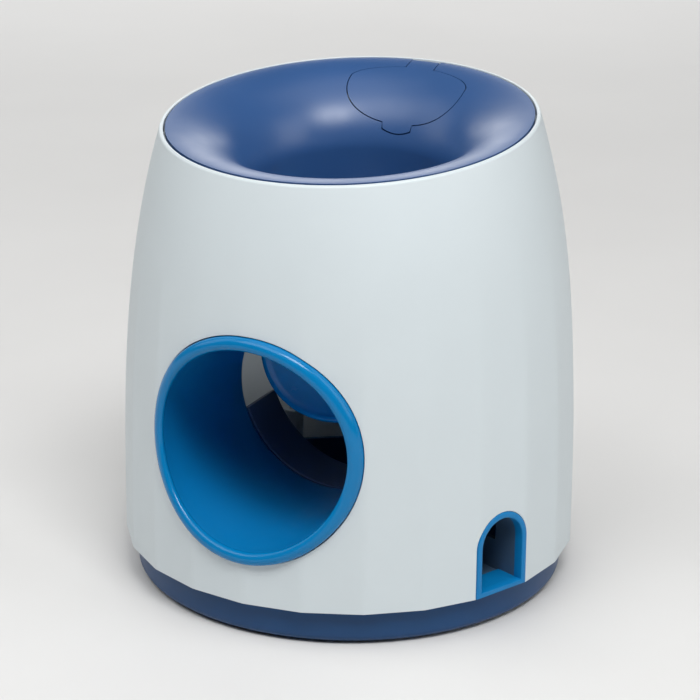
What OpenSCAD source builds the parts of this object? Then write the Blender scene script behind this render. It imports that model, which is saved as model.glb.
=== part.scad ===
// Ball-drop treat toy for a dog: a ball goes into the funnel, tips a dish and rolls out of the
// front tube, and the dish turns a metering drum that lets a portion of treats slide to an arch.
// Millimetres, +Z up, origin on the floor under the body's axis, front tube towards -Y.

/* [Body] */
// Radius of the shell's lower edge, measured to its corners
body_r = 85; // [84:0.5:90]
// Height of the shell's lower edge above the floor
base_h = 14; // [12.5:0.5:16]
// Shrink of the shell's radius from its lower edge to its top
body_taper = 18; // [16:0.5:19]
// Number of flat facets round the shell
facet_count = 24; // [20:4:32]
// Height at which the facets start to fade
facet_low = 70; // [50:1:100]
// Height at which the shell is fully round
facet_high = 150; // [120:1:160]
// Wall of the shell
shell_wall = 2.2; // [1.8:0.1:2.6]
// Height of the rim at the body's axis
rim_z = 173.7; // [172:0.1:185]
// Forward slant of the rim, in degrees
rim_tilt = 6; // [5:0.5:6.5]
// Width of the shell's lip round the funnel
lip_w = 1.6; // [1.4:0.1:2]

/* [Funnel and lid] */
// Radius of the throat that the ball drops through
throat_r = 36; // [33:0.5:36.5]
// Depth of the funnel from its rim to the throat
funnel_depth = 26; // [22:0.5:28]
// Length of the straight throat
throat_len = 15; // [12:0.5:16]
// Wall of the funnel
funnel_wall = 2; // [1.6:0.1:2.4]
// Half the width of the filling lid
lid_half_w = 24.1; // [20:0.1:25]
// Sideways place of the lid's middle
lid_x = -0.15; // [-2:0.05:1]
// Width of the lid's hinge ear
ear_w = 11.2; // [9:0.2:13]
// Radius of the hinge pin
hinge_pin_r = 0.9; // [0.7:0.05:1]
// Seam between the lid and the funnel
seam = 0.4; // [0.35:0.05:0.6]

/* [Ball tube] */
// Inside radius of the tube
tube_r = 37.5; // [35:0.5:38]
// Height of the tube's axis
tube_z = 71.2; // [69:0.2:74]
// Wall of the tube
tube_wall = 1.8; // [1.4:0.1:2.2]
// Width of the bead round the tube's mouth
bead_w = 4.9; // [4:0.1:5.5]
// How far the bead stands out of the shell
bead_h = 2.4; // [1.6:0.1:3]
// How far behind the tube's inner end the trough reaches
trough_len = 22; // [16:1:24]
// How far the trough's wall climbs on the left, in degrees from its floor
trough_angle = 71; // [60:1:76]
// How far it climbs on the right, where the treat slide passes
trough_low_angle = 52; // [40:1:54]

/* [Paddle] */
// Radius of the dish that the ball lands on
dish_r = 37; // [34:0.5:37.5]
// Depth of the dish
dish_depth = 7; // [5:0.5:9]
// Wall of the dish
dish_wall = 1.8; // [1.5:0.1:2.2]
// Slope of the dish at rest, in degrees
dish_tilt = 49; // [46:1:51]
// Radius of the dish's shaft
paddle_shaft_r = 2.5; // [2:0.1:3]
// Turn of the dish under the ball, in degrees
paddle_turn = 25; // [15:1:25]

/* [Treat drive] */
// Tooth size of the gears
gear_module = 1; // [0.9:0.05:1]
// Teeth of the whole gear that the sector is cut from
sector_teeth = 54; // [48:6:54]
// Teeth of the drum's pinion
pinion_teeth = 12; // [11:1:13]
// Thickness of the gears
gear_w = 4; // [3:0.5:5]
// Radius of the metering drum
drum_r = 15; // [13:0.5:15.5]
// Length of the metering drum
drum_w = 23; // [18:0.5:23]
// Radius of the drum's shaft
drum_shaft_r = 2; // [1.6:0.1:2.4]
// Half the width of the hopper
hopper_half = 30; // [28:0.5:31]
// Wall of the hopper
hopper_wall = 1.8; // [1.5:0.1:2.2]

/* [Treat outlet] */
// Direction of the outlet round the body, in degrees from the front
outlet_az = 67; // [65:0.5:68]
// Half the width of the arch's opening
outlet_half_w = 9.7; // [8:0.1:10]
// Height of the arch's spring line
outlet_spring_z = 32.7; // [31:0.1:36]
// Width of the frame round the arch
outlet_frame = 2.3; // [2:0.1:3]
// Width of the treat slide
slide_w = 16; // [14:0.5:17]

/* [Base] */
// How far the base is set back under the shell
base_inset = 4.5; // [3.5:0.1:5]
// Thickness of the base's floor
base_floor = 3; // [2.4:0.1:3.6]
// Radius of each rubber foot
foot_r = 6; // [5:0.5:7]
// Shank radius of the fixing screws
screw_r = 1.5; // [1.2:0.1:1.6]

/* [Hidden] */
$fn = 64;

// Fits that several pieces share
run_gap = 0.05;
seat_gap = 0.2;
free_gap = 0.5;

// How far a cut runs past the face that it opens, and past everything above
cut = 1;
tall_cut = 60;

// Shell outline
taper_span = rim_z - base_h + 6;
facet_dip = body_r * (1 - cos(180 / facet_count));
tilt_rise = tan(rim_tilt);
flange_t = 2.4;
flange_r = body_r - 6.4;
lip_round = 1;
ledge_d = 3.2;
ledge_w = 1.8;
shell_rows = 14;
inner_rows = 10;
shell_columns = 2 * facet_count;

function smooth(t) = let (c = min(1, max(0, t))) c * c * (3 - 2 * c);
function body_radius(z) = body_r - body_taper * pow(max(0, z - base_h) / taper_span, 3);
function facet_share(z) = 1 - smooth((z - facet_low) / (facet_high - facet_low));
function rim_guess(az) = rim_z - body_radius(rim_z) * cos(az) * tilt_rise;
function rim_height(az) = rim_z - body_radius(rim_guess(az)) * cos(az) * tilt_rise;

// Circle that the rim makes in the slanted plane
rim_front_r = body_radius(rim_height(0));
rim_back_r = body_radius(rim_height(180));
rim_y = (rim_back_r - rim_front_r) / 2;
rim_gap = 0.25;
funnel_r = (rim_front_r + rim_back_r) / 2 - lip_w - rim_gap;
rim_origin = [0, rim_y, rim_z + rim_y * tilt_rise];

// Funnel outline
funnel_power = 1.8;
funnel_rows = 18;
skirt_t = 2;
function funnel_drop(s) = 1 - pow(1 - pow(s, funnel_power), 1 / funnel_power);
function funnel_h(rho, top_r, low_r, depth) =
    -depth * funnel_drop(min(1, max(0, (top_r - rho) / (top_r - low_r))));
function funnel_curve(top_r, low_r, h0, depth) =
    [for (i = [0:funnel_rows])
        let (s = sin(90 * i / funnel_rows))
        [top_r - (top_r - low_r) * s, h0 - depth * funnel_drop(s)]];
function funnel_top_z(x, y) =
    let (v = (y - rim_y) / cos(rim_tilt))
    rim_origin[2] + v * sin(rim_tilt)
        + funnel_h(norm([x, v]), funnel_r, throat_r, funnel_depth) * cos(rim_tilt);
throat_end_z = rim_z - funnel_depth - throat_len;

// Lid, in the rim's slanted plane
lid_top_inset = 6.1;
lid_low_inset = 2.85;
lid_top_v = funnel_r - lid_top_inset;
lid_low_v = throat_r + lid_low_inset;
lid_power_top = 1.5;
lid_power_low = 2.6;
lid_points = 40;
tab_w = 12;
tab_len = 2.2;
tab_bow = 1;
tab_points = 8;
hinge_inset = 3;
hinge_v = funnel_r - hinge_inset;
hinge_h = -2.2;
barrel_r = 2;
knuckle_w = 3.5;
lid_mid_v = (lid_top_v + lid_low_v) / 2;
lid_top_h = funnel_h(lid_top_v, funnel_r, throat_r, funnel_depth);
lid_low_h = funnel_h(lid_low_v, funnel_r, throat_r, funnel_depth);
lid_slope = atan2(lid_top_h - lid_low_h, lid_top_v - lid_low_v);
lid_half_l = norm([lid_top_v - lid_low_v, lid_top_h - lid_low_h]) / 2;
lid_mid_h = (lid_top_h + lid_low_h) / 2;
lid_draft_top = 52;
lid_draft_low = 6;
lid_reach = 7;
ear_root = 3;

// Ball tube
tube_out_r = tube_r + tube_wall;
bead_in_r = tube_r - 0.7;
bead_r = bead_in_r + bead_w;
tube_to_shaft = 47;
shaft_to_shell = 53;
shaft_y = body_r - shaft_to_shell;
tube_end_y = shaft_y - tube_to_shaft;
trough_y0 = tube_end_y + seat_gap;
trough_y1 = trough_y0 + trough_len;
trough_wall = 2.2;
ring_w = 4;
ring_t = 3;

// Paddle and drive, axes along X
shaft_drop = 49.7;
shaft_z = rim_z - shaft_drop;
gear_gap = 0.15;
sector_r = gear_module * sector_teeth / 2;
pinion_r = gear_module * pinion_teeth / 2;
drive_angle = -52.7;
drum_y = shaft_y + (sector_r + pinion_r + gear_gap) * cos(drive_angle);
drum_z = shaft_z + (sector_r + pinion_r + gear_gap) * sin(drive_angle);
hub_r = 5.5;
hub_half = 14;
dish_reach = dish_r + 8.3;
dish_drop = 1.8;
web_half = hub_half - 1;
web_t = 2.2;
web_low = 2.4;
web_root = 4;
finger_w = 8;
finger_t = 2.5;
finger_gap = 0.9;
pad_w = 10;
pad_drop = 7;
pad_gap = 0.3;
bush_r = 4.4;
bearing_x = 21;
bearing_w = 5;
bush_flange = 0.7;
bush_lip = 1;
ear_wall = 2;
shaft_x0 = -(bearing_x + bearing_w + 5);
clip_w = 1;
clip_groove = 0.5;
clip_rim = 2;

// Hopper and drum housing
hopper_to_shaft = 8.2;
hopper_front = shaft_y + hopper_to_shaft;
hopper_gap = 1.7;
hopper_depth = 60;
hopper_over = 8;
drum_gap = 0.4;
port_inset = 1;
port_half = 9;
port_back = 2;
port_sill = 5;
housing_wall = 3.2;
housing_r = drum_r + drum_gap + housing_wall;
plate_t = 2;
drum_x1 = hopper_half - hopper_wall - free_gap;
drum_x0 = drum_x1 - drum_w;
housing_x0 = drum_x0 - 3;
plate_x0 = hopper_half + seat_gap;
gear_x0 = plate_x0 + plate_t + free_gap;
gear_x1 = gear_x0 + gear_w;
shaft_x1 = gear_x1 + 1.5;
hopper_floor_z = drum_z + drum_r + 1.5;
hopper_fall = 14;
floor_t = 3;
lug_x = hopper_half + 6;
lug_to_shaft = 16;
lug_rise = 21.7;
lug_y = shaft_y + lug_to_shaft;
lug_z = shaft_z + lug_rise;
lug_t = 5;
lug_r = 4;
lug_screw = 12;
pocket_r = 8;
pocket_sink = 1;
pocket_end = 1.5;

// Outlet and slide
outlet_face = body_r * cos(180 / facet_count) + 0.25;
outlet_depth = 33;
outlet_hood = 14;
frame_t = 3;
outlet_wall = 2;
outlet_sill = 2.6;
outlet_z0 = base_h + seat_gap;
outlet_out_w = outlet_half_w + outlet_frame;
outlet_rear_z = 27;
slide_t = 1.8;
slide_h = 7;
slide_shift = 4;
slide_set_back = 6;
slide_drop = 7;
slide_top = [drum_x0 + drum_w / 2 + slide_shift, drum_y + slide_set_back, drum_z - housing_r - slide_drop];
slide_end_inset = 22;
slide_end_rise = 5;
slide_end_d = outlet_face - slide_end_inset;
slide_end = [slide_end_d * sin(outlet_az), -slide_end_d * cos(outlet_az),
             outlet_rear_z + slide_end_rise];
slide_run = slide_end - slide_top;
slide_yaw = atan2(slide_run[1], slide_run[0]);
slide_pitch = atan2(slide_run[2], norm([slide_run[0], slide_run[1]]));
slide_len = norm(slide_run);
slide_back = 11;
post_r = 4;
post_bore = 12;
post_shares = [0.32, 0.74];

// Base
base_r = body_r - base_inset;
base_low = 0.8;
floor_z0 = base_low + 0.4;
base_z1 = floor_z0 + base_floor;
base_wall = 3.8;
base_round = 3;
spigot_h = 4;
spigot_w = 2;
boss_r = 4;
boss_ring = body_r - 13;
boss_h = 20;
boss_top = base_h + boss_h;
rib_t = 2;
foot_ring = body_r - 21;
foot_h = 2.6;
head_r = 2 * screw_r;
head_h = 1.8;
screw_bite = 8;
trough_screw_x = 8;

module x_cyl(r, x0, x1) {
    translate([x0, 0, 0]) rotate([0, 90, 0]) cylinder(r = r, h = x1 - x0);
}

module y_cyl(r, y0, y1) {
    translate([0, y1, 0]) rotate([90, 0, 0]) cylinder(r = r, h = y1 - y0);
}

module at_shaft() {
    translate([0, shaft_y, shaft_z]) children();
}

module at_drum() {
    translate([0, drum_y, drum_z]) children();
}

module at_tube() {
    translate([0, 0, tube_z]) children();
}

module at_outlet() {
    rotate([0, 0, outlet_az]) children();
}

module in_rim() {
    translate(rim_origin) rotate([rim_tilt, 0, 0]) children();
}

module in_slide() {
    translate(slide_top) rotate([0, 0, slide_yaw]) rotate([0, -slide_pitch, 0]) children();
}

module ring_of(radius, first, count) {
    for (k = [0:count - 1])
        rotate([0, 0, first + k * 360 / count]) translate([0, -radius, 0]) children();
}

// A flat drawing in Y and Z, given a thickness along X
module across(x0, x1) {
    translate([x0, 0, 0]) rotate([90, 0, 90]) linear_extrude(x1 - x0) children();
}

// The round body inside which pieces fit, grown or shrunk by off
module body_solid(off, z0, z1) {
    rows = 14;
    side = [for (i = [0:rows])
        let (z = z0 + (z1 - z0) * i / rows)
        [body_radius(z) + off, z]];
    rotate_extrude($fn = 96) polygon(concat([[0, z0]], side, [[0, z1]]));
}

// Screw standing head down, its shank going up from the head's seat
module screw(len) {
    translate([0, 0, -head_h]) cylinder(r = head_r, h = head_h);
    cylinder(r = screw_r, h = len);
}

// Outer shell: one section per column, swept round the body
function column_radius(j, z) =
    body_radius(z) * (1 - (j % 2) * facet_share(z) * (1 - cos(180 / facet_count)));
function shell_section(j) =
    let (az = j * 180 / facet_count, top = rim_height(az), edge = column_radius(j, top),
         shoulder = top - ledge_d - 2 * ledge_w, low = base_h + flange_t)
    concat(
        [for (i = [0:shell_rows])
            let (z = base_h + (top - lip_round - base_h) * i / shell_rows)
            [column_radius(j, z), z]],
        [[edge - 0.29 * lip_round, top - 0.29 * lip_round], [edge - lip_round, top], [edge - lip_w, top],
         [edge - lip_w, top - ledge_d], [edge - lip_w - ledge_w, top - ledge_d]],
        [for (i = [0:inner_rows])
            let (z = shoulder + (low - shoulder) * i / inner_rows)
            [column_radius(j, z) - shell_wall, z]],
        [[flange_r, low], [flange_r, base_h]]);

module shell_skin() {
    sections = [for (j = [0:shell_columns - 1]) shell_section(j)];
    count = len(sections[0]);
    points = [for (j = [0:shell_columns - 1])
        let (az = j * 180 / facet_count)
        for (p = sections[j]) [p[0] * sin(az), -p[0] * cos(az), p[1]]];
    faces = [for (j = [0:shell_columns - 1])
        for (k = [0:count - 1])
            let (a = j * count + k, b = ((j + 1) % shell_columns) * count + k,
                 c = ((j + 1) % shell_columns) * count + (k + 1) % count, d = j * count + (k + 1) % count)
            each [[a, d, c], [a, c, b]]];
    polyhedron(points, faces);
}

module arch(half_w, z0, y0, y1) {
    translate([-half_w, y0, z0]) cube([2 * half_w, y1 - y0, outlet_spring_z - z0]);
    translate([0, 0, outlet_spring_z]) y_cyl(half_w, y0, y1);
}

module shell_boss() {
    boss_z0 = base_h + seat_gap;
    rib_z0 = base_h + spigot_h + seat_gap;
    rib_len = body_r - facet_dip - boss_ring - shell_wall / 2;
    translate([0, 0, boss_z0]) cylinder(r = boss_r, h = boss_top - boss_z0);
    translate([-rib_t / 2, -rib_len, rib_z0]) cube([rib_t, rib_len, boss_top - rib_z0]);
}

module outer_shell() {
    color("gainsboro") difference() {
        union() {
            shell_skin();
            ring_of(boss_ring, 45, 4) shell_boss();
        }
        at_tube() y_cyl(tube_out_r + seat_gap, -2 * body_r, -body_r / 2);
        at_outlet() arch(outlet_out_w + seat_gap, base_h - cut, -body_r - cut, -body_r / 2);
        at_hinge() hinge_room(seat_gap, barrel_r - hinge_h - lip_w);
        ring_of(boss_ring, 45, 4) translate([0, 0, base_h - cut])
            cylinder(r = screw_r + run_gap, h = boss_h - boss_r / 2);
    }
}

// Base tray with a rounded foot edge and a spigot that centres the shell
module base_plate() {
    spigot_r = flange_r - seat_gap;
    color("#2f4f86") difference() {
        union() {
            rotate_extrude($fn = 96) polygon(concat(
                [[0, floor_z0], [base_r - base_wall - cut, floor_z0], [base_r - base_wall, base_low]],
                [for (a = [0:15:90])
                    [base_r - base_round + base_round * sin(a), base_low + base_round - base_round * cos(a)]],
                [[base_r, base_h], [spigot_r, base_h], [spigot_r, base_h + spigot_h],
                 [spigot_r - spigot_w, base_h + spigot_h], [spigot_r - spigot_w, base_z1], [0, base_z1]]));
            ring_of(boss_ring, 45, 4) translate([0, 0, floor_z0])
                cylinder(r = boss_r, h = base_h - floor_z0);
        }
        ring_of(foot_ring, 0, 4) translate([0, 0, -cut])
            cylinder(r = foot_r + seat_gap, h = foot_h + seat_gap + cut);
        ring_of(boss_ring, 45, 4) screw_hole(base_h);
        for (p = trough_screw_spots()) translate(p) screw_hole(base_z1);
        for (p = slide_screw_spots()) translate(p) screw_hole(base_z1);
        at_outlet() translate([-outlet_out_w - seat_gap, -body_r - cut, base_h])
            cube([2 * (outlet_out_w + seat_gap), outlet_depth + 2 * base_inset, spigot_h + cut]);
    }
}

module screw_hole(top) {
    translate([0, 0, -cut]) cylinder(r = head_r + seat_gap, h = screw_seat + cut);
    cylinder(r = screw_r + run_gap, h = top + cut);
}

screw_seat = floor_z0 + head_h;
function trough_screw_spots() = [for (s = [-1, 1]) [s * trough_screw_x, (trough_y0 + trough_y1) / 2, 0]];
function slide_screw_spots() =
    [for (t = post_shares) [slide_top[0] + slide_run[0] * t, slide_top[1] + slide_run[1] * t, 0]];

module rubber_feet() {
    color("#202428") ring_of(foot_ring, 0, 4) cylinder(r = foot_r, h = foot_h);
}

module base_screws() {
    color("silver") ring_of(boss_ring, 45, 4) translate([0, 0, screw_seat]) screw(base_h + screw_bite);
}

// Funnel wall as a turned skin, in the slanted frame of the rim
module funnel_skin() {
    skirt = ledge_d - seat_gap - (lip_w + ledge_w) * tilt_rise;
    under = funnel_curve(funnel_r - skirt_t, throat_r + funnel_wall, -funnel_wall, funnel_depth);
    top = funnel_curve(funnel_r, throat_r, 0, funnel_depth);
    rotate_extrude($fn = 96) polygon(concat(
        top, [[throat_r, -funnel_depth - throat_len], [throat_r + funnel_wall, -funnel_depth - throat_len]],
        [for (i = [0:funnel_rows]) under[funnel_rows - i]],
        [[funnel_r - skirt_t, -skirt], [funnel_r, -skirt]]));
}

// Everything above the funnel's under side, lowered by gap
module funnel_room(gap) {
    under = funnel_curve(funnel_r - skirt_t, throat_r + funnel_wall + gap, -funnel_wall - gap, funnel_depth);
    end = -funnel_depth - throat_len - gap;
    edge = funnel_r + lip_w + rim_gap + cut;
    rotate_extrude($fn = 96) polygon(concat(
        under, [[throat_r + funnel_wall + gap, end], [0, end], [0, tall_cut], [edge, tall_cut],
                [edge, -ledge_d - gap], [funnel_r - skirt_t, -ledge_d - gap]]));
}

// Outline of the lid at a height over its chord, its edges drafted so that it lifts clear
function lid_corner(t, w, inset) =
    let (half_l = lid_half_l - inset + w * (tan(lid_draft_top) + tan(lid_draft_low)) / 2,
         shift = w * (tan(lid_draft_top) - tan(lid_draft_low)) / 2,
         power = 2 / (sin(t) > 0 ? lid_power_top : lid_power_low))
    [(lid_half_w - inset) * sign(cos(t)) * pow(abs(cos(t)), power),
     shift + half_l * sign(sin(t)) * pow(abs(sin(t)), power)];

// Finger tab with a bowed lower edge
function tab_outline(inset) =
    let (half = tab_w / 2 - inset)
    concat([[half, 0], [-half, 0]],
        [for (i = [0:tab_points])
            let (x = half * (2 * i / tab_points - 1))
            [x, inset - lid_half_l - tab_len - tab_bow * (1 - pow(x / half, 2))]]);

module in_lid() {
    in_rim() translate([lid_x, lid_mid_v, lid_mid_h]) rotate([lid_slope, 0, 0]) children();
}

module lid_plug(inset) {
    in_lid() hull() for (w = [-lid_reach, lid_reach]) translate([0, 0, w]) linear_extrude(run_gap)
        polygon([for (i = [0:lid_points - 1]) lid_corner(360 * i / lid_points, w, inset)]);
    in_lid() translate([0, 0, -lid_reach]) linear_extrude(2 * lid_reach) polygon(tab_outline(inset));
}

module at_hinge() {
    in_rim() translate([lid_x, hinge_v, hinge_h]) children();
}

// Slot in the funnel for the lid's ear
module ear_room() {
    half = ear_w / 2 + seam;
    in_rim() translate([lid_x - half, lid_top_v - ear_root, hinge_h - barrel_r - seam])
        cube([2 * half, hinge_v - lid_top_v + ear_root + barrel_r + seam, tall_cut]);
}

module funnel() {
    color("#34568f") difference() {
        union() {
            funnel_skin_placed();
            for (s = [-1, 1]) hopper_boss(s);
            for (s = [-1, 1]) at_hinge() hinge_knuckle(s);
        }
        lid_plug(0);
        ear_room();
        at_hinge() x_cyl(hinge_pin_r + run_gap / 2, -ear_w / 2 - knuckle_w, ear_w / 2 + knuckle_w);
        for (s = [-1, 1]) translate([s * lug_x, lug_y, lug_z])
            cylinder(r = screw_r + run_gap, h = lug_screw + cut);
    }
}

module hinge_knuckle(side) {
    x0 = side * (ear_w / 2 + seam + knuckle_w / 2) - knuckle_w / 2;
    translate([x0, -barrel_r, -barrel_r])
        cube([knuckle_w, 2 * barrel_r, barrel_r - hinge_h - funnel_wall / 2]);
}

// Space round the hinge that the shell's ledge and the hopper keep free
module hinge_room(gap, height) {
    half = ear_w / 2 + seam + knuckle_w + gap;
    translate([-half, -barrel_r - gap, -barrel_r - gap]) cube([2 * half, 2 * (barrel_r + gap), height]);
}

module hopper_boss(side) {
    z0 = lug_z + lug_t / 2 + seat_gap;
    z1 = funnel_top_z(lug_x - lug_r * 0.6, lug_y - lug_r * 0.8) - funnel_wall / 2;
    translate([side * lug_x, lug_y, z0]) cylinder(r = lug_r, h = z1 - z0);
}

module treat_lid() {
    color("#34568f") difference() {
        union() {
            intersection() {
                funnel_skin_placed();
                union() {
                    lid_plug(seam);
                    lid_ear();
                }
            }
            at_hinge() x_cyl(barrel_r, -ear_w / 2, ear_w / 2);
        }
        at_hinge() x_cyl(hinge_pin_r + run_gap, -ear_w, ear_w);
    }
}

module funnel_skin_placed() {
    in_rim() funnel_skin();
}

// Strip of the funnel's wall that joins the lid to its hinge barrel
module lid_ear() {
    in_rim() translate([lid_x - ear_w / 2, lid_top_v - ear_root, hinge_h - 2 * barrel_r])
        cube([ear_w, hinge_v - lid_top_v + ear_root, 4 * barrel_r]);
}

module lid_pin() {
    color("silver") at_hinge() x_cyl(hinge_pin_r, -ear_w / 2 - knuckle_w, ear_w / 2 + knuckle_w);
}

// Ball tube with a bead that follows the shell
module exit_tube() {
    top = tube_z + bead_r + 6;
    low = base_h + 6;
    color("#0f76bd") difference() {
        union() {
            intersection() {
                at_tube() y_cyl(tube_out_r, -body_r - 8, tube_end_y);
                body_solid(bead_h / 2, low, top);
            }
            difference() {
                union() {
                    intersection() {
                        at_tube() y_cyl(bead_r, -body_r - 8, -body_r / 2);
                        body_solid(bead_h * 0.6, low, top);
                    }
                    intersection() {
                        at_tube() y_cyl(bead_r - bead_w * 0.2, -body_r - 8, -body_r / 2);
                        body_solid(bead_h, low, top);
                    }
                }
                body_solid(seat_gap, low - 1, top + 1);
            }
        }
        at_tube() y_cyl(bead_in_r, -body_r - 12, tube_end_y + 1);
        intersection() {
            at_tube() y_cyl(tube_r, -body_r - 8, tube_end_y + 1);
            body_solid(-bead_h / 2, low, top);
        }
    }
}

// Ring inside the shell that holds the tube
module tube_ring() {
    top = tube_z + bead_r + 8;
    low = base_h + 6;
    inside = shell_wall + facet_dip + seat_gap;
    color("#20324f") difference() {
        intersection() {
            at_tube() y_cyl(tube_out_r + ring_w, -body_r - 8, -body_r / 2);
            body_solid(-inside, low, top);
        }
        body_solid(-inside - ring_t, low - 1, top + 1);
        at_tube() y_cyl(tube_out_r + seat_gap, -body_r - 12, 0);
    }
}

// Trough that carries the ball from the dish to the tube
module ball_trough() {
    foot_half = trough_screw_x + 2 * head_r;
    reach = 3 * tube_r;
    sector = [[0, 0], [-reach * sin(trough_angle), -reach * cos(trough_angle)], [-reach, -reach],
              [reach, -reach], [reach * sin(trough_low_angle), -reach * cos(trough_low_angle)]];
    color("#1c2b45") difference() {
        union() {
            intersection() {
                at_tube() y_cyl(tube_r + trough_wall, trough_y0, trough_y1);
                at_tube() translate([0, trough_y1 + cut, 0]) rotate([90, 0, 0])
                    linear_extrude(trough_len + 2 * cut) polygon(sector);
            }
            translate([-foot_half, trough_y0 + head_r, base_z1 + run_gap])
                cube([2 * foot_half, trough_len - 2 * head_r, tube_z - tube_r - base_z1]);
        }
        at_tube() y_cyl(tube_r, trough_y0 - cut, trough_y1 + cut);
        for (p = trough_screw_spots()) translate(p) cylinder(r = screw_r + run_gap, h = base_z1 + post_bore);
    }
}

module trough_screws() {
    color("silver") for (p = trough_screw_spots())
        translate(p) translate([0, 0, screw_seat]) screw(base_z1 + screw_bite);
}

// Dish in its own plane: Y runs up the slope to the hinge, Z is the side that the ball lands on
module in_dish() {
    at_shaft() rotate([dish_tilt, 0, 0]) translate([0, -dish_reach, dish_drop]) children();
}

module dish_bowl() {
    bowl_r = (dish_r * dish_r + dish_depth * dish_depth) / (2 * dish_depth);
    lip_r = dish_wall * 0.7;
    span = asin((dish_r - 2 * lip_r) / bowl_r);
    rows = 10;
    top = [for (i = [1:rows])
        let (a = span * i / rows)
        [bowl_r * sin(a), bowl_r - dish_depth - bowl_r * cos(a)]];
    lip = [for (a = [120:-30:-120]) [dish_r - lip_r + lip_r * cos(a), -dish_wall * 0.75 + lip_r * sin(a)]];
    low = [for (i = [0:rows - 1])
        let (a = span * (rows - i) / rows)
        [(bowl_r + dish_wall) * sin(a), bowl_r - dish_depth - (bowl_r + dish_wall) * cos(a)]];
    rotate_extrude($fn = 96) polygon(concat([[0, top[0][1]]], top, lip, low, [[0, low[rows - 1][1]]]));
}

module paddle_dish() {
    color("#0f76bd") difference() {
        union() {
            in_dish() dish_bowl();
            in_dish() translate([-web_half, dish_r - web_root, -dish_drop - web_low])
                cube([2 * web_half, dish_reach - dish_r + web_root, web_t]);
            at_shaft() x_cyl(hub_r, -hub_half, hub_half);
            at_shaft() translate([-finger_w / 2, 0, -finger_t])
                cube([finger_w, hopper_to_shaft - finger_gap, finger_t]);
        }
        at_shaft() x_cyl(paddle_shaft_r + run_gap / 2, -hub_half - cut, hub_half + cut);
    }
}

module paddle_shaft() {
    color("silver") difference() {
        at_shaft() x_cyl(paddle_shaft_r, shaft_x0, shaft_x1);
        at_shaft() clip_place() difference() {
            x_cyl(paddle_shaft_r + cut, 0, clip_w + run_gap);
            x_cyl(paddle_shaft_r - clip_groove, -cut, clip_w + cut);
        }
    }
}

module clip_place() {
    translate([-bearing_x - bearing_w - bush_flange - clip_w - seat_gap, 0, 0]) children();
}

// Retaining ring in the groove at the shaft's left end
module shaft_clip() {
    color("dimgray") at_shaft() clip_place() translate([run_gap / 2, 0, 0]) difference() {
        x_cyl(paddle_shaft_r + clip_rim, 0, clip_w);
        x_cyl(paddle_shaft_r - clip_groove + run_gap, -cut, clip_w + cut);
        translate([-cut, -paddle_shaft_r * 0.6, 0])
            cube([clip_w + 2 * cut, paddle_shaft_r * 1.2, paddle_shaft_r + 2 * clip_rim]);
    }
}

module shaft_bushes() {
    color("ivory") for (s = [0, 1]) at_shaft() mirror([s, 0, 0]) difference() {
        union() {
            x_cyl(bush_r - run_gap, bearing_x, bearing_x + bearing_w + bush_flange);
            x_cyl(bush_r + bush_lip, bearing_x + bearing_w + run_gap, bearing_x + bearing_w + bush_flange);
        }
        x_cyl(paddle_shaft_r + run_gap, bearing_x - cut, bearing_x + bearing_w + bush_flange + cut);
    }
}

// Gears: involute flanks, thinned a little so that the teeth run free
pressure_angle = 25;
tooth_play = 0.25;
tooth_root = 1.05;
tooth_tip = 0.8;
flank_points = 4;
function involute(a) = tan(a) * 180 / PI - a;
function tooth_half(r, teeth) =
    let (pitch_r = gear_module * teeth / 2, base = pitch_r * cos(pressure_angle))
    90 / teeth - tooth_play / 2 / pitch_r * 180 / PI
        + involute(pressure_angle) - involute(acos(min(1, base / max(base, r))));
function tooth_flank(teeth, mid, side) =
    let (pitch_r = gear_module * teeth / 2,
         root = pitch_r - tooth_root * gear_module,
         tip = pitch_r + tooth_tip * gear_module)
    [for (i = [0:flank_points])
        let (share = (side < 0 ? i : flank_points - i) / flank_points,
             r = root + (tip - root) * share,
             a = mid + side * tooth_half(r, teeth))
        [r * cos(a), r * sin(a)]];
function tooth_row(teeth, first, last, mid) =
    [for (k = [first:last])
        let (a = mid + k * 360 / teeth)
        each concat(tooth_flank(teeth, a, -1), tooth_flank(teeth, a, 1))];

module sector_gear() {
    before = ceil(paddle_turn * sector_teeth / 360) + 2;
    color("whitesmoke") at_shaft() difference() {
        union() {
            across(gear_x0, gear_x1)
                polygon(concat([[0, 0]], tooth_row(sector_teeth, -before, 2, drive_angle)));
            x_cyl(hub_r, gear_x0, gear_x1);
        }
        x_cyl(paddle_shaft_r + run_gap / 2, gear_x0 - cut, gear_x1 + cut);
    }
}

module drum_pinion() {
    color("whitesmoke") at_drum() difference() {
        across(gear_x0, gear_x1)
            polygon(tooth_row(pinion_teeth, 0, pinion_teeth - 1, drive_angle + 180 + 180 / pinion_teeth));
        x_cyl(drum_shaft_r + run_gap / 2, gear_x0 - cut, gear_x1 + cut);
    }
}

// Torsion spring round the shaft, with straight legs at its two ends
spring_turns = 4;
spring_wire = 0.9;
spring_pitch = 1.45;
spring_r = 4.7;
spring_leg = 9;
spring_steps = 12;
spring_sides = 6;
spring_x0 = -bearing_x + 0.35 + spring_wire / 2;
function spring_point(t) =
    let (a = 360 * t) [spring_x0 + spring_pitch * t, spring_r * cos(a), spring_r * sin(a)];
spring_coil = [for (i = [0:spring_turns * spring_steps]) spring_point(i / spring_steps)];
spring_path = concat([spring_coil[0] + [0, 0, -spring_leg]], spring_coil,
                     [spring_coil[spring_turns * spring_steps] + [0, 0, spring_leg * 0.6]]);
function unit(v) = v / norm(v);
function path_heading(path, i) = unit(path[min(len(path) - 1, i + 1)] - path[max(0, i - 1)]);
function tube_ring_points(path, i, r) =
    let (h = path_heading(path, i), side = unit(cross(h, [1, 0.02, 0])), up = cross(side, h))
    [for (s = [0:spring_sides - 1])
        let (a = 360 * s / spring_sides) path[i] + r * (cos(a) * side + sin(a) * up)];

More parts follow.
